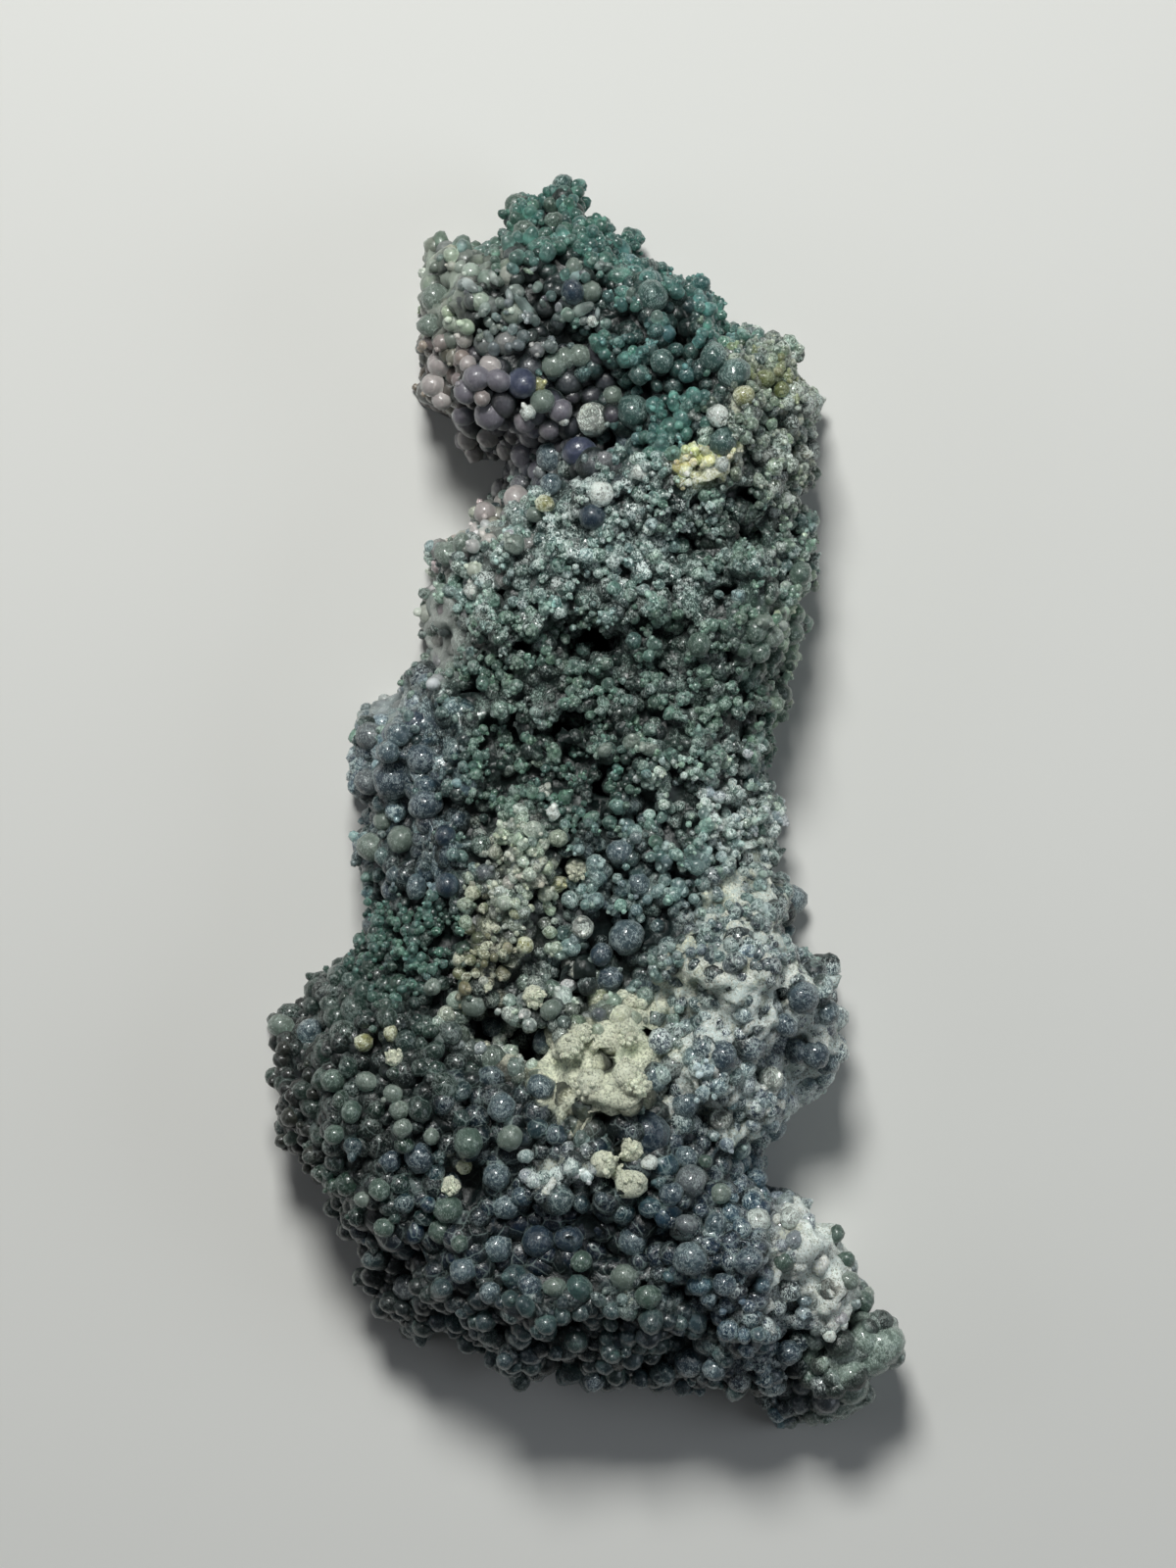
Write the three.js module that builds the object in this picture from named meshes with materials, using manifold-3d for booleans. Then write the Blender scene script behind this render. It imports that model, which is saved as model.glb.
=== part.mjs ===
// A botryoidal chalcedony specimen: one thick, uneven slab overgrown with grape-like balls.
// Units are millimetres. It lies on its flat cut base: +Z is up, away from the base,
// +Y runs along its length to the crown, and the origin is the centre of the base.
import * as THREE from 'three';
import { mergeVertices } from 'three/addons/utils/BufferGeometryUtils.js';
import Module from 'manifold-3d';

// Driving dimensions
const LENGTH = 160.5;
const WIDTH = 81.8;
const HEIGHT = 36;
// The mass under the balls: its flat top, the reach of its rounded shoulder and its widest level
const PLATEAU = 23;
const SHOULDER_REACH = 9;
const GIRTH_HEIGHT = 7;
const SWELL_SPREAD = 1.35;
const SWELL_SHARE = 0.6;
// The foot lies below the base plane, which cuts it off flat
const FOOT_LEVEL = -5;
const FOOT_INSET = 1.5;
// The balls: how many in a row each way, how far they overlap, and how uneven their rows are
const BALLS_ACROSS = 10;
const BALLS_ALONG = 25;
const BALL_OVERLAP = 0.61;
const BALL_SEAT = 0.35;
const SIZE_SCATTER = 0.2;
const KNOT_SCATTER = 2.6;
const HEIGHT_SCATTER = 1.4;
// The facets of a ball: where its ring of corners lies, and how deep a crease goes
const RING_AT = 0.68;
const CREASE_DEPTH = 0.45;
const SEED = 20613;

// The widest outline of the mass under the balls, clockwise from the crown's left end
const GIRTH = [
  [-17.7, 68.9], [-11.8, 70.9], [-5.9, 75.6], [-1.8, 74.4], [2.6, 71.4], [6.7, 68.3], [15.6, 63.6],
  [23.4, 59], [26.6, 53.4], [27.2, 46], [26, 38], [28.1, 30], [26.3, 22], [24.3, 14], [21.5, 8],
  [20.9, 1], [21.4, -7.5], [25.7, -13.8], [28.5, -20.7], [31.6, -28], [29.2, -35.3], [23.6, -40.2],
  [19.8, -46.1], [23.7, -52.4], [31, -57.2], [32, -63.4], [36.7, -69], [35.3, -75.8], [26.8, -78.8],
  [21.6, -72.5], [12, -73.7], [-0.2, -74.4], [-9, -73.2], [-16.1, -67.2], [-26.5, -65.4],
  [-27.1, -58], [-32.1, -52.3], [-37.5, -44.1], [-38.2, -36.7], [-38.4, -30.3], [-32.6, -24],
  [-26.8, -18.1], [-26, -10], [-25.7, -2], [-29, 4.8], [-24.3, 12.4], [-18.3, 18], [-18.7, 27.3],
  [-15.1, 33], [-9.2, 39.1], [-8.8, 44.6], [-15.8, 48], [-20.8, 53.4], [-19.7, 62.1],
];
// Where the crown's right end, the toe and the left sill stand in that outline
const CROWN_END = 5;
const TOE = 27;
const SILL = 34;

// The swells that give the top its relief: centre x, y, half-widths in x and y, and height of the top
const SWELLS = [
  ['crown tip', -3, 74, 6, 6.5, 18], ['crown shoulder', 0.5, 67, 10, 8, 25],
  ['violet cluster', -12, 58, 10, 14, 27], ['violet foot', -8, 49.5, 9, 7, 27],
  ['upper crest', 9.5, 58, 10, 9, 31], ['far crest', 20.5, 51, 9, 9, 31],
  ['crest', 13, 42, 14, 8.5, 35], ['neck', 0, 37, 11, 6, 29.5], ['right shoulder', 23, 36, 7, 10, 26],
  ['left slope', -12, 27.5, 8.5, 8, 25], ['middle band', -1, 28, 13, 7, 29],
  ['middle right', 13, 28, 11, 9, 27.5], ['right bulge', 21.5, 20.5, 6, 6.5, 28],
  ['waist band', -8.5, 14.5, 12, 5, 25.5], ['waist right', 13.5, 12, 11, 8, 24.5],
  ['left lobe', -22, 5.5, 8, 9, 21.5], ['left knob', -26.5, -6, 3.5, 4, 19],
  ['lower left lobe', -20, -8.5, 8, 7.5, 22.5], ['pale lump', 8, 2.5, 7, 5.5, 28],
  ['right waist', 19, -2, 6.5, 9, 24.5], ['yellow ridge', -5.5, -6, 6, 8, 28.5],
  ['yellow ridge foot', -11.5, -18, 5, 9, 28], ['middle', 8, -9.5, 10, 6, 27.5],
  ['hollow floor', 6.5, -19.5, 9, 7, 23.5], ['white crust', 19.5, -20.5, 9.5, 7.5, 29.5],
  ['right lobe', 27.5, -29, 6, 8.5, 24.5], ['right lobe root', 19.5, -33, 9, 7, 29],
  ['yellow mound', 2, -33.5, 6.5, 6, 36.5], ['left shelf', -23.5, -24, 9, 6, 23.5],
  ['left tip', -34, -31, 6, 6, 17.5], ['left dome', -25.5, -38, 12, 9.5, 27.5],
  ['left edge', -32.5, -43.5, 6, 7, 20.5], ['lower middle', -12, -42.5, 11, 8, 29.5],
  ['lower centre', 1, -47.5, 11, 6.5, 31.5], ['lower left band', -18, -56, 10, 8, 24.5],
  ['lower band', -4.5, -59, 12, 8.5, 26.5], ['lower right band', 11.5, -54, 9.5, 9, 29.5],
  ['left sill', -20.5, -64, 6, 5, 17], ['sill', -4.5, -68.5, 11, 5.5, 18.5],
  ['right sill', 11.5, -69, 10, 6, 19.5], ['foot', 25.5, -60, 9, 9, 27.5],
  ['foot lower', 29, -71.5, 8, 7.5, 21.5], ['toe', 37, -69.5, 3.8, 3.8, 15],
];

// Single balls that reach past the slab: centre x, y, z and radius
const OUTLYING_BALLS = [
  [-3, 76.4, 9, 3.6], [-9.2, 73.4, 9, 3.4], [37.2, -69.6, 8, 3.6], [33.8, -75.6, 7, 3.4], [26, 57, 12, 3],
];

// Clefts and pits between the balls: centre x, y, z, half-widths in x, y and z, and turn in degrees
const PITS = [
  ['deep pit', 0.3, 19.7, 30, 3, 2.3, 17, -10], ['upper slot', -3.4, 8.6, 28, 4.6, 1.9, 12, 0],
  ['long cleft', -10, -30.5, 28, 8.5, 2.2, 10, -24], ['short cleft', 3, -40.8, 31, 4.6, 1.9, 10, 8],
  ['violet cleft', 2.2, 44.8, 30, 4.6, 2, 9, 28], ['shoulder pit', 20, 33.6, 28, 3.2, 1.9, 9, -30],
];

const wasm = await Module();
wasm.setup();

let state = SEED;
// A repeatable number from 0 to 1.
function chance() {
  state = (Math.imul(state, 1664525) + 1013904223) >>> 0;
  return state / 2 ** 32;
}

// A closed geometry as a solid that can be joined and cut.
function solidFrom(geometry) {
  geometry.deleteAttribute('normal');
  geometry.deleteAttribute('uv');
  const merged = mergeVertices(geometry, 1e-4);
  return new wasm.Manifold(new wasm.Mesh({
    numProp: 3,
    vertProperties: merged.attributes.position.array,
    triVerts: new Uint32Array(merged.index.array),
  }));
}

// A solid as a geometry, with flat faces.
function geometryFrom(solid) {
  const mesh = solid.getMesh();
  const positions = new Float32Array(mesh.numVert * 3);
  for (let i = 0; i < mesh.numVert; i++) {
    positions.set(mesh.vertProperties.subarray(i * mesh.numProp, i * mesh.numProp + 3), i * 3);
  }
  const geometry = new THREE.BufferGeometry();
  geometry.setAttribute('position', new THREE.BufferAttribute(positions, 3));
  geometry.setIndex(new THREE.BufferAttribute(mesh.triVerts, 1));
  return geometry;
}

// How far a point lies inside a closed outline, negative outside it.
function depthInside(outline, x, y) {
  let nearest = Infinity;
  let inside = false;
  for (let i = 0, j = outline.length - 1; i < outline.length; j = i++) {
    const [ax, ay] = outline[j];
    const [bx, by] = outline[i];
    const along = ((x - ax) * (bx - ax) + (y - ay) * (by - ay)) / ((bx - ax) ** 2 + (by - ay) ** 2);
    const t = THREE.MathUtils.clamp(along, 0, 1);
    nearest = Math.min(nearest, Math.hypot(x - ax - t * (bx - ax), y - ay - t * (by - ay)));
    if ((ay > y) !== (by > y) && x < ax + ((y - ay) / (by - ay)) * (bx - ax)) inside = !inside;
  }
  return inside ? nearest : -nearest;
}

// The height of the mass under the balls, away from its edge.
function massTop(x, y) {
  let top = PLATEAU;
  for (const [, cx, cy, rx, ry, height] of SWELLS) {
    const left = 1 - ((x - cx) / (SWELL_SPREAD * rx)) ** 2 - ((y - cy) / (SWELL_SPREAD * ry)) ** 2;
    if (left > 0) top += (height - PLATEAU) * SWELL_SHARE * left * left;
  }
  return top;
}

// How far a place is outside the mass, as a share of its size there: 0 on its surface.
function outsideMass({ x, y, z }) {
  const edge = Math.max(SHOULDER_REACH - depthInside(GIRTH, x, y), 0) / SHOULDER_REACH;
  const rise = Math.max(z - GIRTH_HEIGHT, 0) / (massTop(x, y) - GIRTH_HEIGHT);
  return Math.hypot(edge, rise) - 1;
}

// Moves a point straight onto the surface of the mass.
function settle(point) {
  const probe = 0.05;
  for (let pass = 0; pass < 4; pass++) {
    const here = outsideMass(point);
    const slope = new THREE.Vector3(
      outsideMass({ ...point, x: point.x + probe }) - here,
      outsideMass({ ...point, y: point.y + probe }) - here,
      outsideMass({ ...point, z: point.z + probe }) - here,
    ).divideScalar(probe);
    const step = slope.multiplyScalar(-here / (slope.lengthSq() + 1e-4));
    point.add(step.clampLength(0, 2));
  }
}

// One side of the girth from corner to corner, moved inwards.
function sideOf(from, to, inset) {
  const count = GIRTH.length;
  const path = new THREE.CurvePath();
  const pointAt = (i) => {
    const [x, y] = GIRTH[i % count];
    const [bx, by] = GIRTH[(i + count - 1) % count];
    const [ax, ay] = GIRTH[(i + 1) % count];
    const length = Math.hypot(ax - bx, ay - by);
    return new THREE.Vector2(x + ((ay - by) / length) * inset, y - ((ax - bx) / length) * inset);
  };
  for (let i = from; i < to; i++) path.add(new THREE.LineCurve(pointAt(i), pointAt(i + 1)));
  return path;
}

// A function that takes a place on a unit square to a place inside the girth.
function planInside(inset) {
  const crown = sideOf(0, CROWN_END, inset);
  const right = sideOf(CROWN_END, TOE, inset);
  const foot = sideOf(TOE, SILL, inset);
  const left = sideOf(SILL, GIRTH.length, inset);
  const corners = [crown.getPointAt(0), crown.getPointAt(1), foot.getPointAt(1), foot.getPointAt(0)];
  return (u, v) => {
    const place = new THREE.Vector2();
    place.addScaledVector(crown.getPointAt(u), 1 - v).addScaledVector(foot.getPointAt(1 - u), v);
    place.addScaledVector(left.getPointAt(1 - v), 1 - u).addScaledVector(right.getPointAt(v), u);
    place.addScaledVector(corners[0], -(1 - u) * (1 - v)).addScaledVector(corners[1], -u * (1 - v));
    place.addScaledVector(corners[2], -(1 - u) * v).addScaledVector(corners[3], -u * v);
    return place;
  };
}

// The mass under the balls as a coarse closed net, with one knot for each ball.
function ballNet() {
  const net = new THREE.BoxGeometry(1, 1, 2, BALLS_ACROSS, BALLS_ALONG, 2);
  const girth = planInside(0);
  const foot = planInside(FOOT_INSET);
  const position = net.attributes.position;
  for (let i = 0; i < position.count; i++) {
    const level = Math.round(1 - position.getZ(i));
    const row = Math.round((0.5 - position.getY(i)) * BALLS_ALONG);
    let u = position.getX(i) + 0.5;
    if (u > 0.01 && u < 0.99) u += (row % 2 ? 0.25 : -0.25) / BALLS_ACROSS;
    const place = (level === 2 ? foot : girth)(u, row / BALLS_ALONG);
    position.setXYZ(i, place.x, place.y, [massTop(place.x, place.y), GIRTH_HEIGHT, FOOT_LEVEL][level]);
  }
  net.deleteAttribute('normal');
  net.deleteAttribute('uv');
  const merged = mergeVertices(net, 1e-3);
  shortenDiagonals(merged);
  spreadKnots(merged);
  merged.computeVertexNormals();
  return merged;
}

// Spaces the knots of a net evenly over the mass, then unsettles them a little.
function spreadKnots({ index, attributes: { position } }) {
  const knots = Array.from({ length: position.count }, (_, i) =>
    new THREE.Vector3().fromBufferAttribute(position, i));
  const isFree = knots.map(({ z }) => z > FOOT_LEVEL + 0.01);
  const neighbours = knots.map(() => new Set());
  for (let i = 0; i < index.count; i += 3) {
    const [a, b, c] = [0, 1, 2].map((k) => index.getX(i + k));
    neighbours[a].add(b).add(c);
    neighbours[b].add(c).add(a);
    neighbours[c].add(a).add(b);
  }
  for (let pass = 0; pass < 30; pass++) {
    knots.forEach((knot, i) => {
      if (!isFree[i]) return;
      const mean = new THREE.Vector3();
      for (const k of neighbours[i]) mean.addScaledVector(knots[k], 1 / neighbours[i].size);
      knot.lerp(mean, 0.6);
      settle(knot);
    });
  }
  knots.forEach((knot, i) => {
    if (isFree[i]) {
      const scatter = new THREE.Vector3(chance() - 0.5, chance() - 0.5, chance() - 0.5);
      knot.addScaledVector(scatter, KNOT_SCATTER);
      settle(knot);
      knot.z += HEIGHT_SCATTER * (chance() - 0.5);
    }
    position.setXYZ(i, knot.x, knot.y, knot.z);
  });
}

// Turns the diagonal of each square of a net to the shorter way.
function shortenDiagonals({ index, attributes }) {
  const gap = (p, q) => new THREE.Vector3().fromBufferAttribute(attributes.position, p)
    .distanceTo(new THREE.Vector3().fromBufferAttribute(attributes.position, q));
  for (let i = 0; i < index.count; i += 6) {
    const [a, b, d] = [0, 1, 2].map((k) => index.getX(i + k));
    const c = index.getX(i + 4);
    if (gap(a, c) < gap(b, d)) [a, b, c, a, c, d].forEach((corner, k) => index.setX(i + k, corner));
  }
}

// A ball round each knot of the net, reaching a little past halfway to its neighbours.
function ballsOnNet({ index, attributes }) {
  const knots = Array.from({ length: attributes.position.count }, (_, i) => ({
    at: new THREE.Vector3().fromBufferAttribute(attributes.position, i),
    normal: new THREE.Vector3().fromBufferAttribute(attributes.normal, i),
    reach: 0,
    edges: 0,
  }));
  for (let i = 0; i < index.count; i += 3) {
    for (let k = 0; k < 3; k++) {
      const knot = knots[index.getX(i + k)];
      knot.reach += knot.at.distanceTo(knots[index.getX(i + ((k + 1) % 3))].at);
      knot.edges += 1;
    }
  }
  return knots.map(({ at, normal, reach, edges }) => {
    const radius = BALL_OVERLAP * (reach / edges) * (1 + SIZE_SCATTER * (chance() - 0.5));
    return { at, normal, radius, centre: at.clone().addScaledVector(normal, -BALL_SEAT * radius) };
  });
}

// A point of the net moved out along its normal to the skin of the balls around it.
function onSkin(at, normal, near) {
  let out = -Infinity;
  for (const { centre, radius } of near) {
    const toCentre = centre.clone().sub(at);
    const along = toCentre.dot(normal);
    const left = radius ** 2 - toCentre.lengthSq() + along ** 2;
    if (left > 0) out = Math.max(out, along + Math.sqrt(left));
  }
  const deepest = -CREASE_DEPTH * near[0].radius;
  return at.clone().addScaledVector(normal, Math.max(out, deepest));
}

// The closed skin of all the balls: tops at the knots, creases halfway between them.
function skinOfBalls(net) {
  const balls = ballsOnNet(net);
  const points = [];
  // The skin over a place given by its shares of some knots
  const between = (parts) => {
    const at = new THREE.Vector3();
    const normal = new THREE.Vector3();
    for (const [k, weight] of parts) {
      at.addScaledVector(balls[k].at, weight);
      normal.addScaledVector(balls[k].normal, weight);
    }
    return onSkin(at, normal.normalize(), parts.map(([k]) => balls[k]));
  };
  for (let i = 0; i < net.index.count; i += 3) {
    const corners = [0, 1, 2].map((k) => net.index.getX(i + k));
    const trough = between(corners.map((k) => [k, 1 / 3]));
    for (let k = 0; k < 3; k++) {
      const [here, next, last] = [corners[k], corners[(k + 1) % 3], corners[(k + 2) % 3]];
      const top = between([[here, 1]]);
      const flank = [next, last].map((other) => between([[here, RING_AT], [other, 1 - RING_AT]]));
      const crease = [next, last].map((other) =>
        between([[Math.min(here, other), 0.5], [Math.max(here, other), 0.5]]));
      points.push(top, flank[0], flank[1], flank[0], crease[0], trough);
      points.push(flank[0], trough, flank[1], flank[1], trough, crease[1]);
    }
  }
  const skin = new THREE.BufferGeometry().setFromPoints(points);
  return mergeVertices(skin, 1e-3);
}

function outlyingBall([x, y, z, radius]) {
  const geometry = new THREE.IcosahedronGeometry(radius, 1);
  geometry.translate(x, y, z);
  return solidFrom(geometry);
}

// Stretches a geometry slightly so that it has the stated size, with its base on Z 0.
function fitted(geometry) {
  geometry.computeBoundingBox();
  const { min, max } = geometry.boundingBox;
  geometry.translate(-(min.x + max.x) / 2, -(min.y + max.y) / 2, 0);
  geometry.scale(WIDTH / (max.x - min.x), LENGTH / (max.y - min.y), HEIGHT / max.z);
  return geometry;
}

function pitSolid([, x, y, z, rx, ry, rz, turn]) {
  const geometry = new THREE.IcosahedronGeometry(1, 0);
  geometry.scale(rx, ry, rz);
  geometry.rotateZ(THREE.MathUtils.degToRad(turn));
  geometry.translate(x, y, z);
  return solidFrom(geometry);
}

let body = solidFrom(skinOfBalls(ballNet()));
for (const ball of OUTLYING_BALLS) body = body.add(outlyingBall(ball));
for (const pit of PITS) body = body.subtract(pitSolid(pit));
const below = new THREE.BoxGeometry(2 * WIDTH, 2 * LENGTH, HEIGHT).translate(0, 0, -HEIGHT / 2);
body = body.subtract(solidFrom(below));

const chalcedony = new THREE.Mesh(
  fitted(geometryFrom(body)),
  new THREE.MeshStandardMaterial({ color: 0x566f6b, roughness: 0.42, metalness: 0 }),
);
chalcedony.name = 'botryoidal_chalcedony';

const specimen = new THREE.Group();
specimen.add(chalcedony);

export default specimen;
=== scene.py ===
"""A botryoidal chalcedony specimen: fused grape-like balls over a cut-off mass of stone."""
from __future__ import annotations

import logging
import math
from collections import defaultdict
from dataclasses import dataclass, field
from enum import Enum

import bpy
import numpy as np
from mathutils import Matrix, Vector, noise
from mathutils.bvhtree import BVHTree
from mathutils.kdtree import KDTree


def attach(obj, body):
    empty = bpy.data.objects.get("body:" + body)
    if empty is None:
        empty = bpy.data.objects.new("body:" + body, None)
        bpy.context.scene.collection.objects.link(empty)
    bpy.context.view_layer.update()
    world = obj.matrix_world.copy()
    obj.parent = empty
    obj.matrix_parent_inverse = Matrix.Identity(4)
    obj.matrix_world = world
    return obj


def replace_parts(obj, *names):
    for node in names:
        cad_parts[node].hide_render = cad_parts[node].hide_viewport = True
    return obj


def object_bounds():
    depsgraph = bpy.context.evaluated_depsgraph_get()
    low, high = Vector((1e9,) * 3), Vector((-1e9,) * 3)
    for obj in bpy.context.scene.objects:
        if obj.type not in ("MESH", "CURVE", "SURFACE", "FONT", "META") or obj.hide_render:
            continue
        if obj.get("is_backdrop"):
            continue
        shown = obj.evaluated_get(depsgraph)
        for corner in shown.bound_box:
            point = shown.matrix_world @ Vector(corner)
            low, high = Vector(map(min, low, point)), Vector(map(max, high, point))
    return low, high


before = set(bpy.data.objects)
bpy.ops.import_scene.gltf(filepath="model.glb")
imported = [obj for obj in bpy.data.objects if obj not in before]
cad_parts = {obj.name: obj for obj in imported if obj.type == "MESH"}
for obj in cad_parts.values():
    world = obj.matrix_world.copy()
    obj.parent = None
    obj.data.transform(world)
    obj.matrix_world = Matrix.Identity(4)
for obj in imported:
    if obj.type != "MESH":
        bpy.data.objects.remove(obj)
CAD_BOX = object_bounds()

LOG = logging.getLogger("chalcedony")
MM = 0.001
NODE = "botryoidal_chalcedony"
BODY = "root"
SEED = 4107
UPWARD = Vector((0.0, 0.0, 0.6))

PHOTO_WIDTH = 1200
PHOTO_HEIGHT = 1600
PIXELS_PER_MM = 8.0
MIDDLE_PIXEL = (596.0, 816.0)
VIEW_LEVEL = 18.0
VIEW_DISTANCE = 620.0

Colour = tuple[float, float, float]


def linear(colour: Colour) -> tuple[float, float, float, float]:
    """Turns a display colour of 0 to 255 into a linear colour with alpha.

    Args:
        colour: Red, green and blue as seen on a display.

    Returns:
        The same colour in linear light, with alpha 1.
    """
    channels = [c / 255.0 for c in colour]
    return tuple(c / 12.92 if c <= 0.04045 else ((c + 0.055) / 1.055) ** 2.4 for c in channels) + (1.0,)


def on_plan(px: float, py: float) -> tuple[float, float]:
    """Takes a pixel of the photograph to a place on the specimen's plan.

    Args:
        px: Pixel column.
        py: Pixel row.

    Returns:
        X and Y in millimetres at the level of the view.
    """
    return (px - MIDDLE_PIXEL[0]) / PIXELS_PER_MM, (MIDDLE_PIXEL[1] - py) / PIXELS_PER_MM


class Look(Enum):
    """The named looks that one ball can have: core colour, rim colour, frost, crust and hollow."""

    VIOLET = ((82, 80, 90), (144, 140, 146), 0.06, 0.0, 0.0)
    INDIGO = ((32, 38, 60), (92, 98, 118), 0.05, 0.0, 0.0)
    LILAC = ((138, 131, 130), (192, 185, 182), 0.06, 0.0, 0.0)
    ASH = ((62, 68, 74), (116, 124, 126), 0.3, 0.0, 0.0)
    PALE = ((80, 94, 86), (142, 154, 144), 0.25, 0.0, 0.0)
    WHITE = ((150, 158, 152), (218, 222, 214), 0.80, 0.4, 0.0)
    CREAM = ((178, 184, 152), (222, 224, 198), 0.45, 0.95, 0.0)
    YELLOW = ((120, 122, 74), (186, 186, 136), 0.50, 0.5, 0.0)
    SLATE = ((28, 44, 58), (88, 106, 116), 0.46, 0.0, 0.0)
    STEEL = ((44, 62, 72), (108, 126, 132), 0.46, 0.0, 0.0)
    OLIVE = ((70, 78, 38), (132, 140, 90), 0.4, 0.2, 0.0)
    FROSTED = ((34, 50, 64), (150, 164, 168), 0.95, 0.1, 0.0)
    DEEP = ((8, 22, 38), (64, 84, 98), 0.20, 0.0, 0.0)
    GREEN = ((48, 68, 60), (104, 124, 112), 0.3, 0.0, 0.0)
    TEAL = ((28, 54, 52), (90, 122, 116), 0.35, 0.0, 0.0)
    GLASS = ((104, 121, 112), (150, 168, 156), 0.46, 0.0, 0.0)
    # The eye's near-black core is painted shade inside its sunk top.
    EYE = ((20, 28, 32), (196, 202, 192), 0.50, 0.3, 1.0)

    @property
    def core(self) -> Colour:
        """Returns the colour at the top of the ball."""
        return self.value[0]

    @property
    def rim(self) -> Colour:
        """Returns the lighter colour for the ball's sides, which the material paints as a glow of light through the
        thin edge.
        """
        return self.value[1]

    @property
    def frost(self) -> float:
        """Returns how thickly white frost lies on the ball."""
        return self.value[2]

    @property
    def crust(self) -> float:
        """Returns how much of the ball is covered with chalky crust."""
        return self.value[3]

    @property
    def hollow(self) -> float:
        """Returns how far the top of the ball is sunk."""
        return self.value[4]


@dataclass(frozen=True)
class Field:
    """A stretch of the specimen: the deep fused balls, the proud balls on them and what fills their gaps."""

    name: str
    centre: tuple[float, float]
    reach: tuple[float, float]
    radii: tuple[float, float]
    # deep is the darker colour of the low balls and of the stone between them, a painted shade of the gaps; rim is the
    # lighter colour that the material paints on the balls' sides as a glow through thin edges.
    deep: Colour
    core: Colour
    rim: Colour
    frost: float = 0.3
    crust: float = 0.0
    web: float = 0.3
    proud: float = 0.5
    proud_size: float = 0.75
    fill: float = 0.1
    nubs: float = 0.4
    tall: float = 1.0
    grain: float = 1.0
    lumps: float = 0.5
    matrix: float = 0.0
    strength: float = 1.0


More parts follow.
